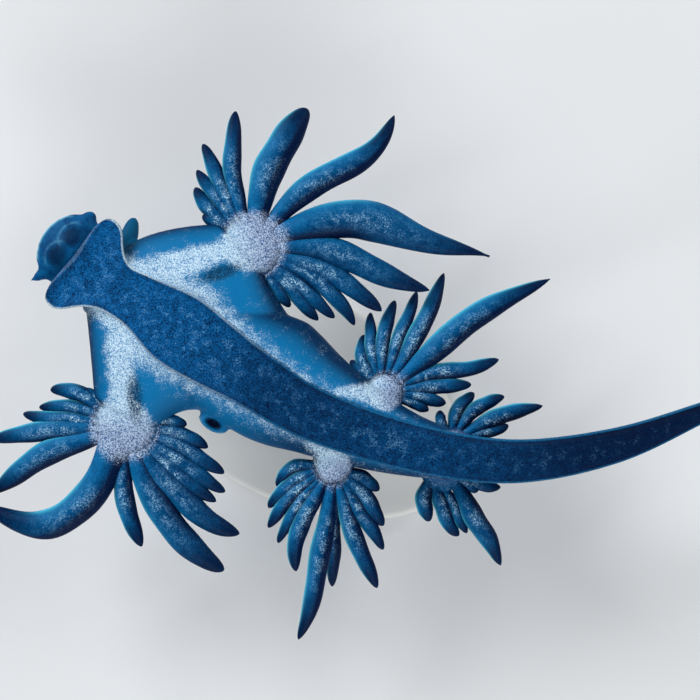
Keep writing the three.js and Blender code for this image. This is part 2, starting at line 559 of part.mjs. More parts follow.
const slug = new THREE.Group();
slug.add(...parts.map(meshOf));
slug.position.z = MID_HEIGHT;

export default slug;
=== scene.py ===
"""Dresses a life-size blue dragon sea slug, which floats belly up over a small display stand.

One seamless skin covers the head, body, arms and tail. The foot is a thin sheet with a pale rim on the belly,
and each arm carries a fan of tapering cerata. Every shape is worked out in millimetres as a numpy surface, in
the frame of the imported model: +Z up, the tail towards +X and the animal's left side towards +Y.
"""

from __future__ import annotations

import itertools
import logging
import math
from abc import ABC, abstractmethod
from dataclasses import dataclass, field
from enum import Enum

import bpy
import numpy as np
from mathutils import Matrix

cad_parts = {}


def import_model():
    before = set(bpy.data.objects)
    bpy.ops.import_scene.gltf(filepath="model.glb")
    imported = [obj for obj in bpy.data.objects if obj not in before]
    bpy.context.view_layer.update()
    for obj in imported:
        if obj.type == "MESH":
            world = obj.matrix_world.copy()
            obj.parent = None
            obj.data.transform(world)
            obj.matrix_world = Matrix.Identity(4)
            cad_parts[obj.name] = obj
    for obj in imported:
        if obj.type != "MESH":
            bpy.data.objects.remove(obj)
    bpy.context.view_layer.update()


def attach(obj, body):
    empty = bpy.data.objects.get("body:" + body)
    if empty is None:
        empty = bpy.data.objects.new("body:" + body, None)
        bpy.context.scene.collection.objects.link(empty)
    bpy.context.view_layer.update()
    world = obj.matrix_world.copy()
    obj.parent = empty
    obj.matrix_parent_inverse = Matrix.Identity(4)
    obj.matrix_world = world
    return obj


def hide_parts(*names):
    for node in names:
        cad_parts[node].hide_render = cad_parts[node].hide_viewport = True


log = logging.getLogger("slug")

Step = tuple[float, float]

MM = 0.001
UP = np.array([0.0, 0.0, 1.0])
MID_HEIGHT = 8.0
TAIL_END = 38.2
NECK_START = 0.9
SHOULDER_SIDE = np.array([-0.5, 0.85, 0.0])
# LIGHT_SIDE is the direction that the cerata's painted light, painted highlight and painted shade come from.
LIGHT_SIDE = np.array([-0.86, 0.49, 0.15])
MIDLINE = (
    (-10.42, 6.95), (-7.68, 4.8), (-3.6, 1.82), (0.96, -0.72), (5.76, -2.25),
    (10.56, -2.95), (15.36, -2.26), (19.68, -0.65), (24.48, 1.54),
)
FLESH = (
    "neck", "body_front", "body_middle", "body_rear", "tail_front", "tail_middle", "tail_tip", "head",
    "oral_tentacle_left", "oral_tentacle_right", "rhinophore_left", "rhinophore_right",
    "arm_left_front", "arm_right_front", "genital_papilla",
)


class Side(Enum):
    """The animal's sides, as the sign of a distance to its left."""

    LEFT = 1
    RIGHT = -1


class Noise(Enum):
    """The noises in the skin's grain, by their scales as shares of the finish's own."""

    FINE = 1.0
    COARSE = 0.45
    SLOW = 0.08


def smooth(low: float, high: float, value: np.ndarray) -> np.ndarray:
    """A soft step: 0 below low, 1 above high and 3k^2 - 2k^3 between them.

    Args:
        low: where the step starts.
        high: where it ends.
        value: the values to step.

    Returns:
        The stepped values.
    """
    k = np.clip((value - low) / (high - low), 0.0, 1.0)
    return k * k * (3.0 - 2.0 * k)


def bell(value: np.ndarray, middle: float, width: float) -> np.ndarray:
    """A bump of height 1 at the middle: e to the minus square of (value - middle) / width."""
    return np.exp(-(((value - middle) / width) ** 2))


def ray(angle: float, length: float = 1.0) -> np.ndarray:
    """A level vector at an angle from +X, in degrees."""
    return length * np.array([math.cos(math.radians(angle)), math.sin(math.radians(angle)), 0.0])


def unit(vectors: np.ndarray) -> np.ndarray:
    """Vectors made one long."""
    return vectors / np.linalg.norm(vectors, axis=-1, keepdims=True)


def turns(sides: int) -> np.ndarray:
    """The angles of a ring's points, as one row."""
    return np.arange(sides)[None, :] * 2 * math.pi / sides


def squared(sides: int, power: float) -> tuple[np.ndarray, np.ndarray]:
    """A squared oval of half size 1: the cosine and sine of each angle, each raised to a power below 1.

    Args:
        sides: how many points it has.
        power: the power, which is 1 for a plain oval.

    Returns:
        How far across and how far up each point lies.
    """
    across, up = np.cos(turns(sides)), np.sin(turns(sides))
    return np.sign(across) * np.abs(across) ** power, np.sign(up) * np.abs(up) ** power


def ringed(path: np.ndarray, across: np.ndarray, above: np.ndarray, sides: int) -> np.ndarray:
    """Ovals along a path: each middle plus across times the cosine and above times the sine of an angle.

    Args:
        path: the ovals' middles, one row each.
        across: their first half axes.
        above: their second half axes.
        sides: how many points each oval has.

    Returns:
        The points, as rows by sides by three.
    """
    angle = turns(sides)[..., None]
    return path[:, None, :] + across[:, None, :] * np.cos(angle) + above[:, None, :] * np.sin(angle)


@dataclass(frozen=True)
class Curve:
    """A size that changes along the body, eased through (distance, value) rows.

    Between two rows it is the cubic that meets both values with the slopes of the lines between their
    neighbours.
    """

    rows: tuple[tuple[float, float], ...]

    def at(self, distance: np.ndarray | float) -> np.ndarray:
        """The size at each distance.

        Args:
            distance: distances along the midline.

        Returns:
            The eased values.
        """
        x, y = np.array(self.rows).T
        place = np.arange(len(x))
        before, after = np.maximum(place - 1, 0), np.minimum(place + 1, len(x) - 1)
        slope = (y[after] - y[before]) / (x[after] - x[before])
        k = np.clip(np.searchsorted(x, distance, side="right") - 1, 0, len(x) - 2)
        span = x[k + 1] - x[k]
        t = np.clip((distance - x[k]) / span, 0.0, 1.0)
        rise = (3 * t**2 - 2 * t**3) * (y[k + 1] - y[k])
        return y[k] + rise + span * ((t - 2 * t**2 + t**3) * slope[k] + (t**3 - t**2) * slope[k + 1])


FOOT_HALF = Curve((
    (0, 1.7), (0.12, 2.2), (0.35, 2.5), (0.8, 2.56), (1.2, 2.35), (1.6, 1.92), (2, 1.56), (2.5, 1.32),
    (2.9, 1.27), (4.1, 1.38), (6.2, 1.8), (8.5, 1.63), (10.2, 1.44), (13.7, 1.27), (18.7, 1.14), (23.6, 1.06),
    (28.5, 0.86), (33.1, 0.5), (TAIL_END, 0.1),
))
FOOT_SHIFT = Curve((
    (0, 0), (2.2, 0), (4, 0.26), (6, 0.3), (9, 0.33), (11, 0.3), (13, 0.15), (16, 0.08), (20, 0.02),
    (TAIL_END, 0),
))
FOOT_LIGHT = Curve(((0, 1), (7, 0.92), (12, 0.42), (20, 0.5), (27, 0.13), (TAIL_END, 0.06)))
SILVER_LIGHT = Curve((
    (0, 1), (4.5, 1), (8, 0.66), (12.5, 0.55), (15.5, 0.34), (20, 0.16), (TAIL_END, 0.1),
))
BODY_HALF = Curve((
    (0, 1.35), (3, 1.75), (6, 2.45), (9, 2.9), (11.3, 3.15), (12.4, 3), (14, 2.56), (18.7, 1.55),
    (21.5, 1.15), (23.6, 0.95), (28.5, 0.74), (33.1, 0.44), (TAIL_END, 0.1),
))
BODY_SHIFT = Curve((
    (0, 0), (5, 0.15), (9, 0.55), (11.3, 0.75), (12.4, 0.72), (14, 0.64), (18.7, 0.08), (22, 0),
    (TAIL_END, 0),
))
FOOT_LEVEL = Curve((
    (0, 1.3), (6, 1.75), (11, 1.85), (18.7, 1.5), (23.6, 1.25), (28.5, 1.15), (TAIL_END, 1.25),
))
BODY_DEPTH = Curve((
    (0, 2.3), (3, 2.5), (6, 3.1), (11, 3.6), (13.7, 3.4), (18.7, 2.6), (23.6, 1.9), (28.5, 1.35),
    (33.1, 0.9), (TAIL_END, 0.3),
))


class Midline:
    """The foot's midline seen from above: a Catmull-Rom curve measured by its own length."""

    def __init__(self, points: tuple[tuple[float, float], ...], samples: int = 120) -> None:
        """Samples the curve.

        Args:
            points: the points that it passes through.
            samples: how many samples each stretch between two points has.
        """
        knots = np.array(points)
        padded = np.vstack([2 * knots[0] - knots[1], knots, 2 * knots[-1] - knots[-2]])
        t = np.linspace(0.0, 1.0, samples, endpoint=False)[None, :, None]
        p0, p1, p2, p3 = (padded[i : i + len(knots) - 1][:, None, :] for i in range(4))
        bent = (2 * p0 - 5 * p1 + 4 * p2 - p3) * t**2 + (3 * p1 - p0 - 3 * p2 + p3) * t**3
        inner = 2 * p1 + (p2 - p0) * t + bent
        self.line = np.vstack([(inner / 2).reshape(-1, 2), knots[-1:]])
        step = np.linalg.norm(np.diff(self.line, axis=0), axis=1)
        self.length = np.concatenate([[0.0], np.cumsum(step)])
        self.tangent = unit(np.gradient(self.line, self.length, axis=0))

    def beside(self, distance: np.ndarray, aside: np.ndarray, level: np.ndarray) -> np.ndarray:
        """Points beside the midline.

        Args:
            distance: how far along it, below 0 straight ahead of its start.
            aside: how far to the animal's left.
            level: the height above the middle plane.

        Returns:
            The points, with the height above the table.
        """
        distance, aside, level = np.broadcast_arrays(distance, aside, level)
        point = np.stack([np.interp(distance, self.length, self.line[:, k]) for k in (0, 1)], axis=-1)
        along = np.stack([np.interp(distance, self.length, self.tangent[:, k]) for k in (0, 1)], axis=-1)
        point = point + along * np.minimum(distance, 0.0)[..., None]
        left = np.stack([-along[..., 1], along[..., 0]], axis=-1)
        flat = point + left * aside[..., None]
        return np.concatenate([flat, level[..., None] + MID_HEIGHT], axis=-1)

    def locate(self, points: np.ndarray, chunk: int = 4000) -> tuple[np.ndarray, np.ndarray]:
        """Where points lie along and beside the midline, by its nearest sample.

        Args:
            points: the points.
            chunk: how many are compared at once.

        Returns:
            The distance along the midline and the distance to the animal's left.
        """
        along, aside = [], []
        for start in range(0, len(points), chunk):
            flat = points[start : start + chunk, None, :2] - self.line[None, :, :]
            near = np.argmin((flat**2).sum(axis=2), axis=1)
            gap = flat[np.arange(len(near)), near]
            tangent = self.tangent[near]
            along.append(self.length[near] + (gap * tangent).sum(axis=1))
            aside.append(gap[:, 1] * tangent[:, 0] - gap[:, 0] * tangent[:, 1])
        return np.concatenate(along), np.concatenate(aside)


SPINE = Midline(MIDLINE)


@dataclass
class Surface:
    """A closed mesh in millimetres, with marks: named numbers at its corners for the finishes to read."""

    points: np.ndarray
    quads: np.ndarray
    triangles: np.ndarray
    marks: dict[str, np.ndarray] = field(default_factory=dict)

    @staticmethod
    def loft(rings: np.ndarray, marks: dict[str, np.ndarray] | None = None) -> Surface:
        """Closes a grid of rings at both ends, by a fan of triangles to each end ring's mean point.

        Args:
            rings: the points, as rows by sides by three.
            marks: numbers on the grid, as rows by sides.

        Returns:
            The closed surface, with its faces turned out.
        """
        rows, sides, _ = rings.shape
        index = np.arange(rows * sides).reshape(rows, sides)
        turned = np.roll(index, -1, axis=1)
        quads = np.stack([index[:-1], turned[:-1], turned[1:], index[1:]], axis=-1).reshape(-1, 4)
        first, last = rows * sides, rows * sides + 1
        start = np.stack([np.full(sides, first), turned[0], index[0]], axis=-1)
        end = np.stack([np.full(sides, last), index[-1], turned[-1]], axis=-1)
        points = np.vstack([rings.reshape(-1, 3), rings[0].mean(axis=0), rings[-1].mean(axis=0)])
        values = {
            name: np.concatenate([grid.ravel(), [grid[0].mean(), grid[-1].mean()]])
            for name, grid in (marks or {}).items()
        }
        made = Surface(points, quads, np.vstack([start, end]), values)
        return made if made.volume() > 0 else made.flipped()

    @staticmethod
    def ball(
        centre: np.ndarray, sizes: tuple[float, float, float], turn: float = 0.0, sides: int = 32
    ) -> Surface:
        """An ellipsoid: latitude rings scaled by its half sizes and turned about Z.

        Args:
            centre: its middle.
            sizes: its half sizes.
            turn: the angle of its first axis from +X, in degrees.
            sides: how many sides its rings have.

        Returns:
            The closed surface.
        """
        lift = np.linspace(-0.5, 0.5, sides // 2)[1:-1, None] * math.pi
        wide, long, high = sizes
        level = centre + high * np.sin(lift) * UP
        return Surface.loft(ringed(
            level, wide * np.cos(lift) * ray(turn), long * np.cos(lift) * ray(turn + 90), sides
        ))

    @staticmethod
    def join(surfaces: list[Surface]) -> Surface:
        """Several surfaces as one.

        Args:
            surfaces: the surfaces, which have the same marks.

        Returns:
            The joined surface.
        """
        offsets = np.cumsum([0] + [len(s.points) for s in surfaces[:-1]])
        return Surface(
            np.vstack([s.points for s in surfaces]),
            np.vstack([s.quads + n for s, n in zip(surfaces, offsets)]),
            np.vstack([s.triangles + n for s, n in zip(surfaces, offsets)]),
            {name: np.concatenate([s.marks[name] for s in surfaces]) for name in surfaces[0].marks},
        )

    def volume(self) -> float:
        """The enclosed volume: a sixth of the sum of the triangles' triple products."""
        halves = np.vstack([self.quads[:, [0, 1, 2]], self.quads[:, [0, 2, 3]], self.triangles])
        a, b, c = (self.points[halves[:, k]] for k in range(3))
        return float(np.einsum("ij,ij->i", a, np.cross(b, c)).sum() / 6)

    def normals(self, least: float = 1e-12) -> np.ndarray:
        """The points' outward directions: sums of their quads' diagonals' cross products, made one long.

        Args:
            least: the shortest sum that is divided by.

        Returns:
            One direction for each point.
        """
        a, b, c, d = (self.points[self.quads[:, k]] for k in range(4))
        face = np.cross(c - a, d - b)
        corners = self.quads.ravel()
        sums = [np.bincount(corners, np.repeat(face[:, k], 4), len(self.points)) for k in range(3)]
        total = np.stack(sums, axis=-1)
        return total / np.maximum(np.linalg.norm(total, axis=1, keepdims=True), least)

    def flipped(self) -> Surface:
        """The same surface with its faces turned round."""
        return Surface(self.points, self.quads[:, ::-1], self.triangles[:, ::-1], self.marks)

    def mesh(self, name: str) -> bpy.types.Mesh:
        """The surface as a Blender mesh.

        Args:
            name: the mesh's name.

        Returns:
            The mesh, in millimetres.
        """
        made = bpy.data.meshes.new(name)
        made.from_pydata(self.points.tolist(), [], self.quads.tolist() + self.triangles.tolist())
        return made

    def show(
        self, name: str, finish: bpy.types.Material, slot: str, nodes: tuple[str, ...]
    ) -> bpy.types.Object:
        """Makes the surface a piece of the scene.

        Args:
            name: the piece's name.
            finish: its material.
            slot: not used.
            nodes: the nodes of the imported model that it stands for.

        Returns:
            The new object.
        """
        mesh = self.mesh(name)
        mesh.vertices.foreach_set("co", (self.points * MM).ravel())
        mesh.shade_smooth()
        for mark, values in self.marks.items():
            layer = mesh.attributes.new(mark, "FLOAT", "POINT")
            layer.data.foreach_set("value", values.astype(np.float32))
        mesh.materials.append(finish)
        made = bpy.data.objects.new(name, mesh)
        bpy.context.scene.collection.objects.link(made)
        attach(made, "root")
        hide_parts(*nodes)
        log.info("%s: %d faces", name, len(mesh.polygons))
        return made


@dataclass(frozen=True)
class Ceras:
    """One finger of a fan. Angles are in degrees from +X and lengths in millimetres.

    root is where on the palm's rim it grows, heading and reach run straight to its tip, bow and hook bend it
    by shares of its reach, blunt is how full it stays towards its tip, droop is how far its tip sinks, where
    it isn't its fan's, and stout is its width at the root as a share of its widest.
    """

    root: float
    heading: float
    reach: float
    width: float
    bow: float = 0.0
    hook: float = 0.0
    blunt: float = 0.8
    droop: float | None = None
    stout: float = 0.44


@dataclass(frozen=True)
class Web:
    """The flesh from the flank out to a palm, between a leading and a trailing edge of three points each."""

    lead: tuple[tuple[float, float], ...]
    trail: tuple[tuple[float, float], ...]
    level: float = 0.1
    thick: tuple[float, ...] = (1.4, 1.3, 1.1, 0.8)
    rows: int = 40
    sides: int = 48

    def surface(self, palm_level: float) -> Surface:
        """A stack of ovals whose ends run along the two edges.

        Args:
            palm_level: the height of the palm that it ends in.

        Returns:
            The closed surface.
        """
        t = np.linspace(0.0, 1.0, self.rows)[:, None]
        lead, trail = (self.edge(np.array(points), t) for points in (self.lead, self.trail))
        level = MID_HEIGHT + self.level + (palm_level - self.level) * t
        last = len(self.thick) - 1
        depth = Curve(tuple((place / last, value) for place, value in enumerate(self.thick))).at(t)
        middle, half = np.hstack([(lead + trail) / 2, level]), np.hstack([(lead - trail) / 2, 0 * t])
        return Surface.loft(ringed(middle, half, depth * UP, self.sides))

    @staticmethod
    def edge(points: np.ndarray, t: np.ndarray) -> np.ndarray:
        """A quadratic Bezier curve through its first and last point, drawn to the middle one."""
        return (1 - t) ** 2 * points[0] + 2 * t * (1 - t) * points[1] + t**2 * points[2]


@dataclass(frozen=True)
class Arm:
    """A rounded palm, its fans of cerata and, on the front pair, the web that carries it.

    band is where the silvery band leaves the foot, and its half width there and at the palm. crease is the
    middle, the angle and the two half sizes of the shaded crease behind the palm. The steps say where the
    marks fade: a rise by height, the others by distance as a share of the band's half width or the palm's
    radius.
    """

    name: str
    palm: tuple[float, float, float]
    radius: float
    thick: float
    fans: dict[str, tuple[Ceras, ...]]
    droop: tuple[float, ...]
    band: tuple[tuple[float, float], float, float]
    crease: tuple[tuple[float, float], float, float, float] | None = None
    web: Web | None = None
    cap_shift: float = 0.4
    cap_light: float = 1.0
    sides: int = 48
    band_fade: Step = (0.35, 1.4)
    band_rise: Step = (-1.1, -0.1)
    crease_rise: Step = (-0.2, 0.3)
    cap_fade: Step = (0.66, 1.12)
    cap_rise: Step = (-0.9, 0.1)
    outer_side: Step = (-0.7, 0.4)
    furrow_half: float = 0.1
    furrow_start: Step = (0.62, 0.98)
    furrow_end: Step = (1.15, 1.3)

    @property
    def centre(self) -> np.ndarray:
        """The palm's middle above the table."""
        return np.array(self.palm) + MID_HEIGHT * UP

    @property
    def cap_centre(self) -> np.ndarray:
        """The middle of the granular cap seen from above, which lies off the palm's away from the crease."""
        palm = np.array(self.palm[:2])
        if self.crease is None:
            return palm
        return palm + self.cap_shift * unit(palm - np.array(self.crease[0]))

    def flesh(self) -> list[Surface]:
        """The palm and its web."""
        shapes = [Surface.ball(self.centre, (self.radius, self.radius, self.thick), sides=self.sides)]
        return shapes + ([self.web.surface(self.palm[2])] if self.web else [])

    def silver(self, points: np.ndarray) -> np.ndarray:
        """How silvery the arm is: a soft band from the foot's edge to the palm, narrowing as it goes.

        Args:
            points: the points to mark.

        Returns:
            The mark at each point.
        """
        start, near, far = self.band
        gap = points[:, :2] - np.array(start)
        line = self.cap_centre - np.array(start)
        t = np.clip((gap @ line) / (line @ line), 0.0, 1.0)
        beside = np.linalg.norm(gap - t[:, None] * line, axis=1)
        upper = smooth(*self.band_rise, points[:, 2] - self.centre[2])
        return self.cap_light * (1.0 - smooth(*self.band_fade, beside / (near + (far - near) * t))) * upper

    def dent(self, points: np.ndarray) -> np.ndarray:
        """How much each point lies in the shaded crease behind the palm, a soft oval turned by its angle.

        Args:
            points: the points to mark.

        Returns:
            The mark at each point.
        """
        if self.crease is None:
            return np.zeros(len(points))
        middle, angle, long, short = self.crease
        gap = points[:, :2] - np.array(middle)
        along, across = gap @ ray(angle)[:2], gap @ ray(angle + 90)[:2]
        oval = np.exp(-((along / long) ** 2) - (across / short) ** 2)
        return oval * smooth(*self.crease_rise, points[:, 2] - MID_HEIGHT)

    def cap(self, points: np.ndarray) -> tuple[np.ndarray, np.ndarray, np.ndarray]:
        """The palm's granular cap and the furrows that part the cerata's roots on it.

        Args:
            points: the points to mark.

        Returns:
            How much each point lies on the cap, how far it is towards the cap's outer side, and how deep it
            lies in a furrow, a narrow line midway between two roots that fades towards the palm's middle.
        """
        gap = points[:, :2] - np.array(self.palm[:2])
        far = np.linalg.norm(gap, axis=1)
        upper = smooth(*self.cap_rise, points[:, 2] - self.centre[2])
        away = unit(np.array(self.palm[:2]) - np.array(self.band[0]))
        outer = smooth(*self.outer_side, gap @ away / self.radius)
        roots = np.sort([spec.root for fan in self.fans.values() for spec in fan])
        middles = (roots[1:] + roots[:-1]) / 2
        turn = (np.degrees(np.arctan2(gap[:, 1], gap[:, 0]))[:, None] - middles + 180) % 360 - 180
        furrow = bell(np.radians(turn) * far[:, None], 0.0, self.furrow_half).max(axis=1)
        share = far / self.radius
        furrow *= smooth(*self.furrow_start, share) * (1.0 - smooth(*self.furrow_end, share))
        off = np.linalg.norm(points[:, :2] - self.cap_centre, axis=1) / self.radius
        return self.cap_light * (1.0 - smooth(*self.cap_fade, off)) * upper, outer, furrow * upper


@dataclass(frozen=True)
class CerasMarks:
    """Where the markings of a ceras start and end.

    A turn is a step by how much the surface faces the light's side, a rise by how much it faces up, a span by
    the share of the way to the tip, and widths one by the ceras' width, for what only short ones have.
    """

    widths: Step = (0.6, 1.3)
    lane_half: float = 0.42
    lane_rise: Step = (0.05, 0.5)
    lane_start: Step = (0.14, 0.34)
    lane_end: Step = (0.4, 0.78)
    lane_shorter: float = 0.12
    lane_light: float = 0.4
    lane_gain: float = 0.75
    # Painted shade on the flank turned from the light's side, and on both flanks of short cerata.
    shade: float = 0.97
    shade_turn: Step = (-0.04, 0.4)
    shore: float = 0.95
    shore_side: Step = (0.45, 0.88)
    shore_end: Step = (0.45, 0.8)
    # Painted light on the flank that faces the light's side.
    painted_light_turn: Step = (-0.1, 0.7)
    painted_light_rise: Step = (-0.5, 0.1)
    painted_light_end: Step = (0.6, 0.95)
    # A painted highlight line along the outline on the light's side.
    rim_turn: Step = (0.2, 0.65)
    rim_at: Step = (0.2, 0.3)
    rim_start: Step = (0.1, 0.35)
    rim_end: Step = (0.85, 1.0)
    dark: float = 0.9
    dark_span: Step = (0.55, 0.95)
    root_start: float = -0.35
    root_end: Step = (0.06, 0.06)
    root_rise: Step = (-0.2, 0.45)
    under: float = 0.8
    under_rise: Step = (-0.95, -0.35)
    under_end: Step = (0.4, 0.9)

    def at(
        self, spec: Ceras, t: np.ndarray, angle: np.ndarray, outward: np.ndarray, far: np.ndarray
    ) -> dict[str, np.ndarray]:
        """The markings of one ceras on its grid.

        stripe is a pale speckled streak on the upper face past the root, strongest on short cerata; glow is
        painted light on the flank that faces the light's side, and rim a painted highlight line along its
        outline there; the dark mark is the tip's own dark blue, with painted shade on the other flank and on
        both flanks of short cerata; root is the palm's grain, which fades away from the palm; under is the
        silvery underside.

        Args:
            spec: the ceras.
            t: how far along, one row each.
            angle: how far round, one column each.
            outward: the grid's outward directions.
            far: how far the grid's points are past the palm's rim.

        Returns:
            The marks by name.
        """
        small = 1.0 - smooth(*self.widths, np.array(spec.width))
        lateral, upper = np.cos(angle) + 0 * t, np.sin(angle) + 0 * t
        facing = outward @ LIGHT_SIDE
        lane = bell(lateral, 0.0, self.lane_half) * smooth(*self.lane_rise, upper)
        fade, gone = self.lane_end
        length = smooth(*self.lane_start, t) * (1.0 - smooth(fade, gone - self.lane_shorter * small, t))
        # Painted shade on the flank turned from the light's side, and on both flanks of short cerata where
        # they meet.
        shade = self.shade * smooth(*self.shade_turn, -facing)
        shore = self.shore * small * smooth(*self.shore_side, np.abs(lateral))
        shore = shore * (1.0 - smooth(*self.shore_end, t))
        # Painted light on the flank that faces the light's side.
        glow = smooth(*self.painted_light_turn, facing) * smooth(*self.painted_light_rise, upper)
        # A painted highlight line along the outline on the light's side.
        rim = smooth(*self.rim_turn, facing) * bell(upper, *self.rim_at)
        reach = self.root_end[0] + self.root_end[1] * spec.reach
        under = self.under * (1.0 - smooth(*self.under_rise, upper))
        return {
            "stripe": lane * length * (self.lane_light + self.lane_gain * small),
            "glow": glow * (1.0 - smooth(*self.painted_light_end, t)),
            "rim": rim * smooth(*self.rim_start, t) * (1.0 - smooth(*self.rim_end, t)),
            # The tip's own dark, with the painted shade.
            "dark_tip_and_shade": np.maximum(self.dark * smooth(*self.dark_span, t), np.maximum(shade, shore)),
            "root": (1.0 - smooth(self.root_start, reach, far)) * smooth(*self.root_rise, upper),
            "under": under * (1.0 - smooth(*self.under_end, t)),
        }


@dataclass(frozen=True)
class CerasForm:
    """What all cerata share: a belly, a flattened section, a drawn-out tip and small uneven sways."""

    belly: float = 0.43
    flat: float = 0.78
    thinnest: float = 0.25
    sink: float = 0.45
    shoulder: float = 0.1
    shoulder_at: Step = (0.42, 0.2)
    tip: float = 0.06
    crowding: float = 1.5
    phase: float = 2.4
    sway: Step = (0.006, 1.7)
    ripple: Step = (0.03, 3.1)
    rows: int = 44
    sides: int = 24
    marks: CerasMarks = CerasMarks()

    def swell(self, t: np.ndarray, spec: Ceras) -> np.ndarray:
        """The half width along a ceras as a share of its widest.

        It rises as a quarter sine from the root to the belly, then falls as (1 - p^(1 + 2b))^(1 / (1 + b)),
        where p runs from the belly to the tip and b is the bluntness.

        Args:
            t: how far along.
            spec: the ceras.

        Returns:
            The shares.
        """
        blunt = spec.blunt
        rise = spec.stout + (1 - spec.stout) * np.sin(np.clip(t / self.belly, 0, 1) * math.pi / 2)
        past = np.clip((t - self.belly) / (1 - self.belly), 0, 1)
        fall = (1 - past ** (1 + 2 * blunt)) ** (1 / (1 + blunt))
        return np.maximum(np.where(t < self.belly, rise, fall), self.tip)

    def path(self, arm: Arm, spec: Ceras, droop: float, t: np.ndarray, phase: float) -> np.ndarray:
        """The middle of one ceras: a quadratic curve that sways by hook times a full sine.

        It also leans towards the shoulder side about its middle, by a share of its width.

        Args:
            arm: the arm that it grows on.
            spec: its sizes.
            droop: how far its tip sinks, as a share of its reach.
            t: how far along, one row each.
            phase: where its small sway starts.

        Returns:
            The middles, one row each.
        """
        chord, aside = ray(spec.heading, spec.reach), ray(spec.heading + 90, spec.reach)
        edge = arm.centre + ray(spec.root, arm.radius)
        start = edge - ray(spec.root, self.sink * arm.radius)
        bend = edge + chord / 2 + 2 * spec.bow * aside
        tip = edge + chord - droop * spec.reach * UP
        size, waves = self.sway
        sway = spec.hook * np.sin(2 * math.pi * t) + size * np.sin(2 * math.pi * waves * t + phase) * t
        lean = self.shoulder * spec.width * np.sign(aside @ SHOULDER_SIDE) * bell(t, *self.shoulder_at)
        curve = (1 - t) ** 2 * start + 2 * t * (1 - t) * bend + t**2 * tip
        return curve + sway * aside + lean * ray(spec.heading + 90)

    def surface(self, arm: Arm, spec: Ceras, droop: float, number: int) -> Surface:
        """One ceras: flattened ovals carried along its path.

        Args:
            arm: the arm that it grows on.
            spec: its sizes.
            droop: how far its tip sinks, as a share of its reach, where it has no droop of its own.
            number: its place in the arm, which sets its small sways.

        Returns:
            The closed surface with its marks.
        """
        t = 1 - (1 - np.linspace(0.0, 1.0, self.rows)[:, None]) ** self.crowding
        phase = self.phase * number
        path = self.path(arm, spec, droop if spec.droop is None else spec.droop, t, phase)
        along = unit(np.gradient(path, axis=0))
        left = unit(np.cross(UP, along))
        above = np.cross(along, left)
        size, waves = self.ripple
        swell = self.swell(t, spec) * (1 + size * np.sin(2 * math.pi * waves * t + phase))
        half = spec.width / 2 * swell
        deep = np.maximum(self.flat * half, np.minimum(half, self.thinnest * swell))
        rings = ringed(path, half * left, deep * above, self.sides)
        outward = ringed(0 * path, left, above, self.sides)
        far = np.linalg.norm(rings[..., :2] - arm.centre[:2], axis=-1) - arm.radius
        marks = self.marks.at(spec, t, turns(self.sides), outward, far)
        marks["root"] *= arm.cap_light
        return Surface.loft(rings, marks)


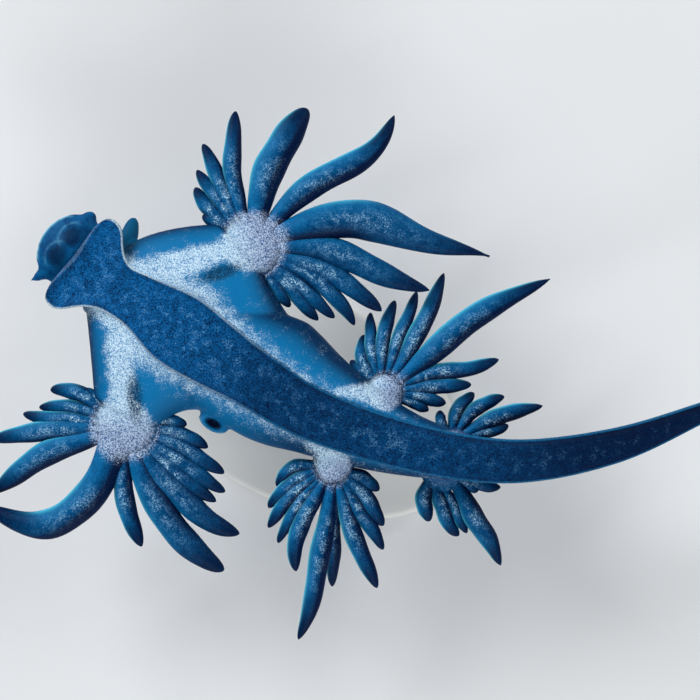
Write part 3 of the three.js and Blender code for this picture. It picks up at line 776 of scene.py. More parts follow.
ARMS = (
    Arm(
        "left_front", (-1.97, 7.39, 0.3), 1.7, 0.64,
        {
            "fore": (
                Ceras(144, 150, 1.07, 0.6),
                Ceras(138, 128, 2.25, 0.76, bow=0.09),
                Ceras(127, 123, 2.86, 0.72, bow=0),
                Ceras(117, 114, 3.84, 0.8, bow=-0.02),
                Ceras(103, 93.5, 5, 0.92, bow=0.06),
            ),
            "middle": (
                Ceras(76, 65, 5.6, 1.56, bow=0.06, blunt=1),
                Ceras(45, 42, 7.8, 1.3, bow=-0.035, hook=0.045, blunt=0.5),
                Ceras(20, -6, 10.1, 1.98, bow=0.09, hook=0.03, blunt=0.08),
                Ceras(-1, -16, 7.3, 1.36, bow=0.04, hook=0.03, blunt=0.45),
            ),
            "aft": (
                Ceras(-20, -28, 5.4, 1, bow=0.075),
                Ceras(-28, -40, 4.65, 0.84, bow=0.105),
                Ceras(-37, -41, 3.65, 0.74),
                Ceras(-46, -48, 3.15, 0.72),
                Ceras(-58, -54, 1.8, 0.64, bow=-0.03),
                Ceras(-68, -75, 0.83, 0.56),
            ),
        },
        (0.1, 0.05, 0.04),
        ((-6.4, 6.1), 0.92, 0.45),
        ((-3.3, 6.08), 18.0, 0.95, 0.3),
        Web(((-8.8, 6.6), (-7.7, 8.35), (-3.5, 8.5)), ((0.6, 3.1), (-0.6, 4.7), (-1.34, 6.1))),
    ),
    Arm(
        "right_front", (-7.97, -1.15, 0.3), 1.73, 0.64,
        {
            "fore": (
                Ceras(137, 153, 1, 0.6),
                Ceras(150, 162, 2.35, 0.8, bow=-0.13),
                Ceras(161, 176, 2.67, 0.68, bow=-0.06),
                Ceras(172, 177, 3.4, 0.76, bow=0.04),
                Ceras(190, 186, 5.25, 1, bow=-0.015, blunt=0.5),
                Ceras(210, 207, 5.95, 1.24, bow=-0.067, blunt=0.5),
            ),
            "middle": (
                Ceras(239, 202, 6.6, 1.56, bow=0.35, blunt=0.5, stout=1.02),
                Ceras(266, 281, 4.35, 0.96, bow=-0.064),
            ),
            "aft": (
                Ceras(288, 307, 6.95, 1.4, bow=-0.118, blunt=0.9),
                Ceras(304, 318, 6, 1.2, bow=-0.1),
                Ceras(315, 320, 4.05, 0.84, bow=-0.05),
                Ceras(325, 325, 4.1, 0.84, bow=-0.02),
                Ceras(337, 330, 3.6, 0.8, bow=0.03),
                Ceras(349, 339, 2.4, 0.74, bow=0.06),
                Ceras(360, 355, 1.2, 0.6, bow=0.12),
            ),
        },
        (0.2, 0.06, 0.12),
        ((-8.05, 2.9), 0.95, 0.45),
        ((-7.42, 0.08), 93.0, 1.05, 0.34),
        Web(((-10.0, 4.9), (-9.75, 3.1), (-9.5, 0.1)), ((-3.6, -0.75), (-5.3, 0.0), (-6.5, -1.5))),
    ),
    Arm(
        "left_middle", (4.56, 0.38, -0.1), 1.0, 0.62,
        {
            "fore": (
                Ceras(146, 131, 1.25, 0.58),
                Ceras(133, 98, 2.05, 0.66, bow=0.15),
                Ceras(120, 93, 3, 0.64, bow=0.03),
                Ceras(107, 77, 3.6, 0.74, bow=0.04),
                Ceras(86, 68, 4.2, 0.7, bow=0),
                Ceras(64, 63, 5.55, 0.92, bow=-0.045, blunt=0.6),
            ),
            "aft": (
                Ceras(35, 34, 8.8, 1.3, bow=0.045, hook=-0.01, blunt=0.35),
                Ceras(17, 15, 4.8, 0.82, bow=0.015, hook=0.02),
                Ceras(4, 5, 3.25, 0.8),
                Ceras(-11, -11, 2.05, 0.72, bow=0.02),
                Ceras(-28, -20, 1.35, 0.58, bow=0.03),
            ),
        },
        (0.3, 0.07),
        ((2.4, 0.4), 0.3, 0.72),
        cap_light=0.88,
    ),
    Arm(
        "right_middle", (2.02, -3.22, -0.1), 1.0, 0.62,
        {
            "fore": (
                Ceras(180, 212, 2, 0.68, bow=-0.21),
                Ceras(193, 221, 2.85, 0.74, bow=-0.065),
                Ceras(208, 229, 3.45, 0.74, bow=-0.053),
                Ceras(222, 239, 3.7, 0.66, bow=-0.04),
                Ceras(241, 253, 4.55, 0.92, bow=-0.08, hook=0.019),
            ),
            "middle": (
                Ceras(268, 258, 7.8, 1.02, bow=0.035, blunt=0.7),
                Ceras(274, 269, 5.15, 0.8, bow=0.01, droop=0.36),
            ),
            "aft": (
                Ceras(293, 289, 5.45, 0.92, bow=-0.02),
                Ceras(306, 300, 3.85, 0.78),
                Ceras(320, 306, 2.9, 0.82, bow=0.045),
                Ceras(338, 327, 1.6, 0.72, bow=0.05),
            ),
        },
        (0.14, 0.12, 0.14),
        ((1.5, -2.1), 0.8, 0.6),
        cap_light=0.88,
    ),
    Arm(
        "left_rear", (7.95, -2.08, -0.6), 0.78, 0.5,
        {
            "": (
                Ceras(125, 102, 0.9, 0.56, bow=0.1),
                Ceras(102, 53, 2, 0.72, bow=0.1),
                Ceras(72, 32, 2.7, 0.74, bow=0.1),
                Ceras(34, 19, 4, 0.88, bow=0.045, blunt=0.5),
                Ceras(12, 17, 2.05, 0.68),
            ),
        },
        (0.16,),
        ((7.6, -2.1), 0.3, 0.3),
        cap_light=0.45,
    ),
    Arm(
        "right_rear", (7.42, -3.52, -0.7), 1.08, 0.55,
        {
            "": (
                Ceras(209, 280, 2, 0.84, bow=-0.1),
                Ceras(232, 302, 2.8, 0.82, bow=-0.06),
                Ceras(270, 301, 2.35, 0.6),
                Ceras(323, 297, 4.55, 1.06, bow=0.01, blunt=0.5),
                Ceras(333, 326, 0.95, 0.56),
                Ceras(346, 343, 1.9, 0.64, bow=-0.1),
            ),
        },
        (0.14,),
        ((7.4, -3.4), 0.2, 0.2),
        cap_light=0.3,
    ),
)


class Wiring:
    """Places and links the nodes of a material or a node group."""

    def __init__(self, tree: bpy.types.NodeTree) -> None:
        """Keeps the tree that the nodes go into."""
        self.tree = tree

    def feed(self, socket: bpy.types.NodeSocket, value: object) -> None:
        """Gives an input its value, or the link from another node's output.

        Args:
            socket: the input.
            value: a plain value, or the output to link.
        """
        if isinstance(value, bpy.types.NodeSocket):
            self.tree.links.new(value, socket)
        else:
            socket.default_value = value

    def node(self, kind: str, inputs: dict | None = None, **settings: object) -> bpy.types.Node:
        """Adds a node.

        Args:
            kind: its Blender type.
            inputs: a value or a socket to link for each named or numbered input.
            settings: its properties.

        Returns:
            The node.
        """
        made = self.tree.nodes.new(kind)
        for name, value in settings.items():
            setattr(made, name, value)
        for name, value in (inputs or {}).items():
            self.feed(made.inputs[name], value)
        return made

    def mark(self, name: str) -> bpy.types.NodeSocket:
        """A named number that the piece's mesh carries."""
        return self.node("ShaderNodeAttribute", attribute_name=name).outputs["Fac"]

    def maths(self, operation: str, *values: object, clamp: bool = False) -> bpy.types.NodeSocket:
        """An arithmetic step on numbers or sockets."""
        inputs = dict(enumerate(values))
        return self.node("ShaderNodeMath", inputs, operation=operation, use_clamp=clamp).outputs[0]

    def step(self, value: object, low: float, high: float, top: float = 1.0) -> bpy.types.NodeSocket:
        """A soft step of a number from 0 at low to top at high."""
        inputs = {"Value": value, "From Min": low, "From Max": high, "To Min": 0.0, "To Max": top}
        return self.node("ShaderNodeMapRange", inputs, interpolation_type="SMOOTHSTEP").outputs["Result"]

    def mix(self, share: object, a: object, b: object) -> bpy.types.NodeSocket:
        """A mix of two colours: Factor, A and B are the colour mix node's sockets 0, 6 and 7."""
        return self.node("ShaderNodeMix", {0: share, 6: a, 7: b}, data_type="RGBA").outputs[2]


def rgb(red: float, green: float, blue: float) -> tuple[float, float, float, float]:
    """A screen colour as the linear colour that shaders take, by the sRGB curve.

    Args:
        red: its red, from 0 to 255.
        green: its green.
        blue: its blue.

    Returns:
        The linear colour, opaque.
    """
    channel = np.array([red, green, blue]) / 255.0
    linear = np.where(channel <= 0.04045, channel / 12.92, ((channel + 0.055) / 1.055) ** 2.4)
    return (*linear.tolist(), 1.0)


def speckle_group() -> bpy.types.NodeTree:
    """The grain of the animal's skin, shared by every finish.

    Grain mixes fine noise with noise of about twice its size and steps it softly into flecks, Patch is a slow
    noise for areas that are paler or darker, and Height is the same grain unstepped, for bumps.

    Returns:
        The node group.
    """
    number = "NodeSocketFloat"
    tree = bpy.data.node_groups.new("speckle", "ShaderNodeTree")
    w = Wiring(tree)
    tree.interface.new_socket("Scale", in_out="INPUT", socket_type=number)
    for name in ("Grain", "Patch", "Height"):
        tree.interface.new_socket(name, in_out="OUTPUT", socket_type=number)
    given = w.node("NodeGroupInput").outputs["Scale"]
    place = w.node("ShaderNodeTexCoord").outputs["Object"]
    fine, coarse, slow = (
        w.node("ShaderNodeTexNoise", {
            "Vector": place,
            "Scale": w.maths("MULTIPLY", given, noise.value),
            "Detail": 2.0,
            "Roughness": 0.6,
        }).outputs["Fac"]
        for noise in Noise
    )
    height = w.maths("MULTIPLY_ADD", fine, 0.6, w.maths("MULTIPLY", coarse, 0.4))
    w.node("NodeGroupOutput", {
        "Grain": w.step(height, 0.36, 0.64), "Patch": w.step(slow, 0.32, 0.68), "Height": height,
    })
    return tree


@dataclass(frozen=True)
class Finish(ABC):
    """What all the finishes share: a material with a Principled shader, speckled and finely bumped."""

    name: str
    roughness: float
    grain: float = 26000.0
    bump: float = 0.3
    bump_height: float = 0.04 * MM
    shine: float = 0.05
    metallic: float = 0.0

    @abstractmethod
    def colour(
        self, w: Wiring, grain: bpy.types.NodeSocket, patch: bpy.types.NodeSocket
    ) -> bpy.types.NodeSocket:
        """Wires the colour.

        Args:
            w: the material's wiring.
            grain: the speckle's fine flecks.
            patch: its slow patches.

        Returns:
            The colour.
        """

    def gloss(self, w: Wiring, patch: bpy.types.NodeSocket) -> object:
        """The roughness, which is the same all over here."""
        return self.roughness

    def material(self) -> bpy.types.Material:
        """Builds the material.

        Returns:
            The material.
        """
        made = bpy.data.materials.new(self.name)
        made.use_nodes = True
        w = Wiring(made.node_tree)
        shader = made.node_tree.nodes["Principled BSDF"]
        group = bpy.data.node_groups.get("speckle") or speckle_group()
        speckle = w.node("ShaderNodeGroup", node_tree=group)
        speckle.inputs["Scale"].default_value = self.grain
        grain, patch, height = (speckle.outputs[name] for name in ("Grain", "Patch", "Height"))
        bump = {"Strength": self.bump, "Distance": self.bump_height, "Height": height}
        looks = {
            "Base Color": self.colour(w, grain, patch),
            "Roughness": self.gloss(w, patch),
            "Specular IOR Level": self.shine,
            "Metallic": self.metallic,
            "Normal": w.node("ShaderNodeBump", bump).outputs[0],
        }
        for name, value in looks.items():
            w.feed(shader.inputs[name], value)
        return made


@dataclass(frozen=True)
class FleshFinish(Finish):
    """The colours that the skin and the cerata share: white and lilac granules, and the grey back."""

    silver: tuple = rgb(208, 234, 250)
    shade: tuple = rgb(38, 122, 182)
    lilac: tuple = rgb(186, 205, 232)
    ash: tuple = rgb(32, 74, 128)
    back: tuple = rgb(140, 160, 182)

    def white(self, w: Wiring, grain: bpy.types.NodeSocket) -> bpy.types.NodeSocket:
        """The granular white beside the foot and on the arms."""
        return w.mix(w.step(grain, -0.15, 0.8), self.shade, self.silver)

    def hub(self, w: Wiring, grain: bpy.types.NodeSocket) -> bpy.types.NodeSocket:
        """The granular lilac grey of the palms."""
        return w.mix(w.step(grain, 0.1, 0.85), self.ash, self.lilac)

    def underside(self, w: Wiring, grain: bpy.types.NodeSocket) -> bpy.types.NodeSocket:
        """The silvery grey of the side that faces down."""
        return w.mix(w.step(grain, -0.4, 1.0), self.shade, self.back)


@dataclass(frozen=True)
class SkinFinish(FleshFinish):
    """White granular skin beside the foot, azure flanks with painted shade where they fall steeply, a navy
    head and a silver back.
    """

    azure: tuple = rgb(8, 112, 170)
    # deep is the painted shade on the steep flanks, and the tail's darker blue.
    deep: tuple = rgb(1, 40, 80)
    pale: tuple = rgb(74, 160, 206)
    # Painted shade in the creases behind the front palms.
    crease_shade: tuple = rgb(16, 58, 90)
    teal: tuple = rgb(8, 84, 122)
    navy: tuple = rgb(2, 46, 96)
    # ink is near black: the head's dark cheeks, and painted shade in the furrows and in the papilla's pit.
    ink: tuple = rgb(1, 12, 40)
    line: tuple = rgb(120, 196, 222)

    def colour(
        self, w: Wiring, grain: bpy.types.NodeSocket, patch: bpy.types.NodeSocket
    ) -> bpy.types.NodeSocket:
        """Lays the skin's colours over one another by its marks.

        Args:
            w: the material's wiring.
            grain: the speckle's fine flecks.
            patch: its slow patches.

        Returns:
            The colour.
        """
        uneven = w.maths("MULTIPLY_ADD", grain, 0.5, w.maths("MULTIPLY_ADD", patch, 0.3, -0.42))
        white = self.white(w, grain)
        silver = w.step(w.maths("ADD", w.mark("silver"), uneven), 0.24, 1.1)
        cap = w.step(w.maths("ADD", w.mark("cap"), uneven), 0.2, 0.85)
        flecks = w.step(w.maths("SUBTRACT", 1.0, grain), -0.2, 0.65)
        head = w.maths("MULTIPLY_ADD", patch, 0.3, w.maths("MULTIPLY", grain, 0.4))
        layers = (
            # Painted shade on the steep flanks, and the tail's darker blue.
            (w.mark("edge"), self.deep),
            (w.maths("MULTIPLY", grain, 0.06), self.pale),
            (silver, white),
            (cap, w.mix(w.mark("outer"), white, self.hub(w, grain))),
            # Speckled painted shade in the creases behind the front palms.
            (w.maths("MULTIPLY", w.step(w.mark("dent"), 0.0, 0.7), flecks), self.crease_shade),
            # Painted shade in the furrows between the cerata's roots.
            (w.maths("MULTIPLY", w.mark("groove"), 0.9), self.ink),
            (w.mark("teal"), self.teal),
            (w.mark("navy"), w.mix(head, self.navy, self.azure)),
            # The dark cheeks, and painted shade in the papilla's sunk pit.
            (w.mark("ink"), self.ink),
            (w.mark("back"), self.underside(w, grain)),
            (w.maths("MULTIPLY", w.mark("line"), w.step(patch, -0.5, 0.7)), self.line),
        )
        base = self.azure
        for share, colour in layers:
            base = w.mix(share, base, colour)
        return base


@dataclass(frozen=True)
class FootFinish(Finish):
    """Deep blue sole, darker towards the tail, with paler flecks down its middle and a thin pale rim."""

    deep: tuple = rgb(1, 14, 46)
    blue: tuple = rgb(10, 108, 178)
    fleck: tuple = rgb(112, 160, 190)
    rim: tuple = rgb(206, 232, 244)
    line: tuple = rgb(40, 140, 196)
    side: tuple = rgb(6, 78, 128)

    def colour(
        self, w: Wiring, grain: bpy.types.NodeSocket, patch: bpy.types.NodeSocket
    ) -> bpy.types.NodeSocket:
        """Lays the foot's colours over one another by its marks.

        Args:
            w: the material's wiring.
            grain: the speckle's fine flecks.
            patch: its slow patches.

        Returns:
            The colour.
        """
        mottle = w.maths("MULTIPLY_ADD", grain, 0.95, w.maths("MULTIPLY_ADD", patch, 0.3, -0.12))
        base = w.mix(w.maths("MULTIPLY", mottle, w.mark("light"), clamp=True), self.deep, self.blue)
        fleck = w.step(w.maths("MULTIPLY", grain, patch), 0.45, 1.0)
        base = w.mix(w.maths("MULTIPLY", fleck, w.mark("middle")), base, self.fleck)
        pale = w.maths("MULTIPLY", w.mark("pale"), w.step(grain, -0.2, 0.9))
        base = w.mix(w.mark("side"), base, w.mix(pale, self.side, self.rim))
        rim = w.mix(w.mark("aft"), self.rim, self.line)
        return w.mix(w.maths("MULTIPLY", w.mark("rim"), w.step(grain, -0.3, 0.8)), base, rim)


@dataclass(frozen=True)
class CerasFinish(FleshFinish):
    """Blue cerata with a pale speckled streak and dark tips; on one side painted light and a cyan painted
    highlight line, on the other painted shade.
    """

    blue: tuple = rgb(1, 44, 88)
    # The painted light on the flank that faces the light's side, also mixed in by the random mottle.
    light: tuple = rgb(8, 116, 176)
    navy: tuple = rgb(0, 14, 50)
    # The colour of the painted highlight line.
    cyan: tuple = rgb(84, 196, 224)
    fleck: tuple = rgb(176, 218, 240)

    def colour(
        self, w: Wiring, grain: bpy.types.NodeSocket, patch: bpy.types.NodeSocket
    ) -> bpy.types.NodeSocket:
        """Lays the cerata's colours over one another by their marks.

        Args:
            w: the material's wiring.
            grain: the speckle's fine flecks.
            patch: its slow patches.

        Returns:
            The colour.
        """
        mottle = w.maths("MULTIPLY_ADD", grain, 0.45, w.maths("MULTIPLY_ADD", patch, 0.2, -0.05))
        # Painted light on the lit flank, over the random mottle.
        glow = w.maths("MULTIPLY_ADD", w.mark("glow"), 0.45, mottle, clamp=True)
        fleck = w.maths("MULTIPLY", w.step(grain, 0.45, 1.0), w.step(patch, 0.0, 0.9, 1.6))
        root = w.maths("MULTIPLY_ADD", grain, 0.7, w.maths("SUBTRACT", w.mark("root"), 0.55))
        layers = (
            (glow, self.light),
            # The tips' own dark, and painted shade on the flanks.
            (w.mark("dark_tip_and_shade"), w.mix(w.step(grain, 0.4, 1.0, 0.3), self.navy, self.blue)),
            # The painted highlight line along the lit outline.
            (w.mark("rim"), self.cyan),
            (w.maths("MULTIPLY", fleck, w.mark("stripe"), clamp=True), self.fleck),
            (w.step(root, 0.1, 0.85), self.hub(w, grain)),
            (w.mark("under"), self.underside(w, grain)),
        )
        base = self.blue
        for share, colour in layers:
            base = w.mix(share, base, colour)
        return base


@dataclass(frozen=True)
class PlainFinish(Finish):
    """A made surface: one colour with faint uneven gloss."""

    tint: tuple = rgb(232, 232, 228)
    uneven: float = 0.05
    dull: float = 0.93

    def colour(
        self, w: Wiring, grain: bpy.types.NodeSocket, patch: bpy.types.NodeSocket
    ) -> bpy.types.NodeSocket:
        """The tint, a little duller in patches."""
        return w.mix(patch, tuple(self.dull * c for c in self.tint[:3]) + (1.0,), self.tint)

    def gloss(self, w: Wiring, patch: bpy.types.NodeSocket) -> object:
        """The roughness, which changes a little in patches."""
        return w.maths("MULTIPLY_ADD", patch, self.uneven, self.roughness - self.uneven / 2)


@dataclass(frozen=True)
class Feeler:
    """A cone-like feeler on the head.

    root is ahead of the foot's front edge, to the left of the head's middle and above the middle plane;
    spread turns it from straight ahead, to the left above 0, and dip raises or sinks its end.
    """

    root: tuple[float, float, float]
    spread: float
    dip: float
    length: float
    radius: float
    taper: float


@dataclass
class Head:
    """The head ahead of the foot: a broad veil, a skull, two dark cheeks, two mouth feelers and two horns.

    Sizes and steps are in millimetres from the head's middle.
    """

    ahead: float = 0.38
    aside: float = 0.1
    veil: tuple = (1.52, 1.85, 0.6)
    veil_level: float = 0.25
    skull: tuple = (1.25, 1.55, 1.0)
    skull_level: float = 0.1
    cheek: tuple = (0.62, 0.58, 0.44)
    cheek_at: tuple = (0.6, 0.58, 0.5)
    sides: int = 48
    feeler_rows: int = 26
    feeler_sides: int = 20
    feeler_sunk: float = 0.3
    rounding: int = 8
    feelers: tuple = (
        Feeler((0.55, 1.35, 0.2), 82.0, 0.0, 0.78, 0.56, 0.6),
        Feeler((0.55, -1.3, 0.2), -69.0, 0.0, 1.2, 0.5, 0.88),
        Feeler((-1.9, 1.0, -0.25), 67.0, -0.05, 2.35, 0.62, 0.48),
        Feeler((-2.0, -1.2, -0.25), -67.0, -2.6, 2.3, 0.5, 0.38),
    )
    navy_start: Step = (-1.3, -0.1)
    rim_line: float = 0.95
    rim_at: Step = (0.98, 0.05)
    rim_side: Step = (1.2, 1.45)
    rim_rise: Step = (0.0, 0.3)
    rim_start: Step = (0.0, 0.4)
    cheek_rise: Step = (0.3, 0.7)
    cheek_long: float = 0.92
    cheek_wide: float = 1.06
    cheek_line: float = 0.26
    cheek_line_at: Step = (0.68, 0.05)
    cheek_line_start: Step = (0.0, 0.5)
    cheek_ink: float = 0.72
    cheek_edge: Step = (0.28, 0.7)

    def place(self, ahead: float, aside: float, level: float) -> np.ndarray:
        """A point ahead of the foot's front edge and to the left of the head's middle."""
        return SPINE.beside(np.array(-ahead), np.array(self.aside + aside), np.array(level))

    @property
    def turn(self) -> float:
        """The midline's angle at the head, in degrees."""
        return math.degrees(math.atan2(SPINE.tangent[0, 1], SPINE.tangent[0, 0]))

    def feeler(self, spec: Feeler) -> Surface:
        """A cone with a rounded end: its radius falls by taper times t, and later as the root of 1 - t^8.

        Args:
            spec: the feeler's sizes.

        Returns:
            The closed surface.
        """
        aim = unit(ray(self.turn + 180 - spec.spread) + spec.dip * UP)
        left = unit(np.cross(UP, aim))
        t = np.linspace(-self.feeler_sunk, 1.0, self.feeler_rows)[:, None]
        share = np.clip(t, 0, 1)
        size = spec.radius * (1 - spec.taper * share) * np.sqrt(np.clip(1 - share**self.rounding, 0.01, 1))
        path = self.place(*spec.root) + t * spec.length * aim
        return Surface.loft(ringed(path, size * left, size * np.cross(aim, left), self.feeler_sides))

    def flesh(self) -> list[Surface]:
        """The head's shapes.

        Returns:
            The veil, the skull, the cheeks and the feelers.
        """
        forward, across, level = self.cheek_at
        shapes = [
            Surface.ball(self.place(self.ahead, 0, self.veil_level), self.veil, self.turn, self.sides),
            Surface.ball(self.place(self.ahead, 0, self.skull_level), self.skull, self.turn, self.sides),
        ]
        for side in Side:
            centre = self.place(forward, side.value * across, level)
            shapes.append(Surface.ball(centre, self.cheek, self.turn))
        return shapes + [self.feeler(spec) for spec in self.feelers]

    def marks(self, points: np.ndarray, distance: np.ndarray, aside: np.ndarray) -> tuple[np.ndarray, ...]:
        """The head's blue flesh, its dark cheeks, and its pale lines ahead of each cheek and along the rim.

        Args:
            points: the skin's points.
            distance: where they lie along the midline.
            aside: where they lie beside it.

        Returns:
            The navy mark, the ink mark and the line mark.
        """
        ahead, left, level = -distance, aside - self.aside, points[:, 2] - MID_HEIGHT
        rim = np.hypot((ahead - self.ahead) / self.veil[0], left / self.veil[1])
        line = self.rim_line * bell(rim, *self.rim_at) * (1.0 - smooth(*self.rim_side, np.abs(left)))
        line *= smooth(*self.rim_rise, level) * smooth(*self.rim_start, ahead)
        upper = smooth(*self.cheek_rise, level)
        ink = np.zeros(len(points))
        for side in Side:
            forward = (ahead - self.cheek_at[0]) / self.cheek_long
            across = (left - side.value * self.cheek_at[1]) / self.cheek_wide
            gap = np.hypot(forward, across)
            ring = self.cheek_line * bell(gap, *self.cheek_line_at) * smooth(*self.cheek_line_start, forward)
            line = np.maximum(line, ring * upper)
            ink = np.maximum(ink, self.cheek_ink * (1.0 - smooth(*self.cheek_edge, gap)) * upper)
        return smooth(*self.navy_start, ahead), ink, line


@dataclass
class Skin:
    """One seamless skin over the trunk, tail, head, arms and papilla."""

    voxel: float = 0.105
    rounds: int = 14
    ease: float = 0.6
    ease_back: float = 0.61
    rows: int = 260
    sides: int = 64
    end_gap: float = 1.2
    widest: float = 0.42
    boxy: float = 0.85
    papilla: tuple = (-3.72, -1.12, 0.35)
    papilla_size: tuple = (0.78, 0.42, 0.5)
    papilla_turn: float = -30.0
    pit: tuple = (-3.7, -1.16)
    pit_size: tuple = (0.5, 0.25)
    pit_depth: float = 0.3
    pit_edge: Step = (0.6, 1.08)
    pit_rise: Step = (0.0, 0.3)
    lip: float = 0.5
    lip_at: Step = (1.45, 0.16)
    lip_side: Step = (-0.05, 0.2)
    white: Step = (0.0, 0.95)
    spread: float = 0.6
    spread_at: Step = (6.0, 3.0)
    dent_depth: float = 0.12
    furrow_depth: float = 0.14
    cover: float = 0.42
    cover_edge: Step = (-0.25, 0.0)
    cover_start: Step = (0.0, 0.4)
    tail_start: Step = (17.0, 23.0)
    tail_deep: float = 0.6
    tail_navy: float = 0.7
    teal_end: Step = (1.4, 2.6)
    horn_side: Step = (1.2, 1.6)
    # flank_at to shore_side set the painted shade on the steep flanks.
    flank_at: Step = (12.0, 4.0)
    tilt: Step = (15.0, 63.0)
    flank_tilt: Step = (6.0, 40.0)
    shore: float = 0.75
    shore_at: Step = (10.0, 2.5)
    shore_side: Step = (0.5, 1.5)
    back: float = 0.85
    back_rise: Step = (-1.5, -0.5)
    head: Head = field(default_factory=Head)

    def trunk(self) -> Surface:
        """The body and tail: squared ovals along the midline, widest a little below the foot.

        Returns:
            The closed surface.
        """
        d = np.linspace(NECK_START, TAIL_END - self.end_gap, self.rows)[:, None]
        depth = BODY_DEPTH.at(d)
        level = FOOT_LEVEL.at(d) - self.widest * depth
        across, lift = squared(self.sides, self.boxy)
        rise = np.where(lift > 0, self.widest, 1 - self.widest) * depth
        return Surface.loft(SPINE.beside(d, BODY_SHIFT.at(d) + BODY_HALF.at(d) * across, level + rise * lift))

    def fused(self) -> Surface:
        """All the flesh as one surface: a voxel remesh of the overlapping shapes, eased to rounded joins.

        Returns:
            The fused surface.
        """
        centre = np.array(self.papilla) + MID_HEIGHT * UP
        papilla = Surface.ball(centre, self.papilla_size, self.papilla_turn)
        shapes = [self.trunk(), papilla, *self.head.flesh()]
        for arm in ARMS:
            shapes += arm.flesh()
        rough = bpy.data.objects.new("rough", Surface.join(shapes).mesh("rough"))
        bpy.context.scene.collection.objects.link(rough)
        remesh = rough.modifiers.new("remesh", "REMESH")
        remesh.mode = "VOXEL"
        remesh.voxel_size = self.voxel
        graph = bpy.context.evaluated_depsgraph_get()
        mesh = bpy.data.meshes.new_from_object(rough.evaluated_get(graph))
        points = np.empty(len(mesh.vertices) * 3)
        mesh.vertices.foreach_get("co", points)
        edges = np.empty(len(mesh.edges) * 2, dtype=np.int64)
        mesh.edges.foreach_get("vertices", edges)
        corners = np.empty(len(mesh.loops), dtype=np.int64)
        mesh.loops.foreach_get("vertex_index", corners)
        bpy.data.objects.remove(rough)
        bpy.data.meshes.remove(mesh)
        points = self.eased(points.reshape(-1, 3), edges.reshape(-1, 2))
        return Surface(points, corners.reshape(-1, 4), np.empty((0, 3), dtype=np.int64))

    def eased(self, points: np.ndarray, edges: np.ndarray) -> np.ndarray:
        """Smooths a mesh without shrinking it.

        Each round moves the points by one share of the way towards their neighbours' mean, and then back by a
        share that is a little larger.

        Args:
            points: the mesh's points.
            edges: its edges.

        Returns:
            The moved points.
        """
        count = np.bincount(edges.ravel(), minlength=len(points))[:, None]
        for _ in range(self.rounds):
            for share in (self.ease, -self.ease_back):
                total = np.stack([
                    np.bincount(edges[:, 0], points[edges[:, 1], k], len(points))
                    + np.bincount(edges[:, 1], points[edges[:, 0], k], len(points))
                    for k in range(3)
                ], axis=-1)
                points = points + share * (total / count - points)
        return points

    def arm_marks(self, points: np.ndarray, silver: np.ndarray) -> tuple[np.ndarray, ...]:
        """The marks that the arms add up to.

        Args:
            points: the skin's points.
            silver: the silver mark beside the foot.

        Returns:
            The silver, cap, outer, groove and dent marks.
        """
        cap, outer, groove, dent = (np.zeros(len(points)) for _ in range(4))
        for arm in ARMS:
            silver = np.maximum(silver, arm.silver(points))
            arm_cap, arm_outer, arm_groove = arm.cap(points)
            outer = np.where(arm_cap > cap, arm_outer, outer)
            cap = np.maximum(cap, arm_cap)
            groove = np.maximum(groove, arm_groove)
            dent = np.maximum(dent, arm.dent(points))
        return silver, cap, outer, groove, dent

    def edge(self, tilt: np.ndarray, distance: np.ndarray, aside: np.ndarray) -> np.ndarray:
        """Painted shade on the flanks, darker the more steeply they fall, sooner on the widest body and less
        on its right; the tail is darker all over.

        Args:
            tilt: the skin's slope, in degrees.
            distance: where its points lie along the midline.
            aside: where they lie beside it.

        Returns:
            The edge mark.
        """
        flank = bell(distance, *self.flank_at)
        low, high = (plain + flank * (wide - plain) for plain, wide in zip(self.tilt, self.flank_tilt))
        shore = self.shore * bell(distance, *self.shore_at) * smooth(*self.shore_side, -aside)
        tail = smooth(*self.tail_start, distance)
        return np.maximum(smooth(low, high, tilt) * (1.0 - shore), self.tail_deep * tail)

    def build(self, finish: SkinFinish) -> bpy.types.Object:
        """Builds the skin, sinks the papilla's pit and writes the marks.

        Args:
            finish: the skin's finish.

        Returns:
            The skin.
        """
        skin = self.fused()
        points = skin.points
        gap = points[:, :2] - np.array(self.pit)
        along, across = gap @ ray(self.papilla_turn)[:2], gap @ ray(self.papilla_turn + 90)[:2]
        reach = np.hypot(along / self.pit_size[0], across / self.pit_size[1])
        top = smooth(*self.pit_rise, points[:, 2] - MID_HEIGHT)
        sunk = (1.0 - smooth(*self.pit_edge, reach)) * top
        points[:, 2] -= self.pit_depth * sunk
        distance, aside = SPINE.locate(points)
        beyond = np.abs(aside - FOOT_SHIFT.at(distance)) - FOOT_HALF.at(distance)
        limit = MID_HEIGHT + FOOT_LEVEL.at(distance) - self.cover
        covered = (1.0 - smooth(*self.cover_edge, beyond)) * smooth(*self.cover_start, distance)
        points[:, 2] -= covered * np.maximum(points[:, 2] - limit, 0.0)
        spread = 1.0 + self.spread * bell(distance, *self.spread_at)
        silver = (1.0 - smooth(*self.white, beyond / spread)) * SILVER_LIGHT.at(distance)
        silver, cap, outer, groove, dent = self.arm_marks(points, silver)
        points[:, 2] -= self.dent_depth * dent + self.furrow_depth * groove
        teal = 1.0 - smooth(*self.teal_end, distance)
        horn = teal * smooth(*self.horn_side, np.abs(aside))
        tilt = np.degrees(np.arccos(np.clip(skin.normals()[:, 2], -1.0, 1.0)))
        navy, ink, line = self.head.marks(points, distance, aside)
        lip = self.lip * bell(reach, *self.lip_at) * top * smooth(*self.lip_side, -across)
        lower = 1.0 - smooth(*self.back_rise, points[:, 2] - MID_HEIGHT)
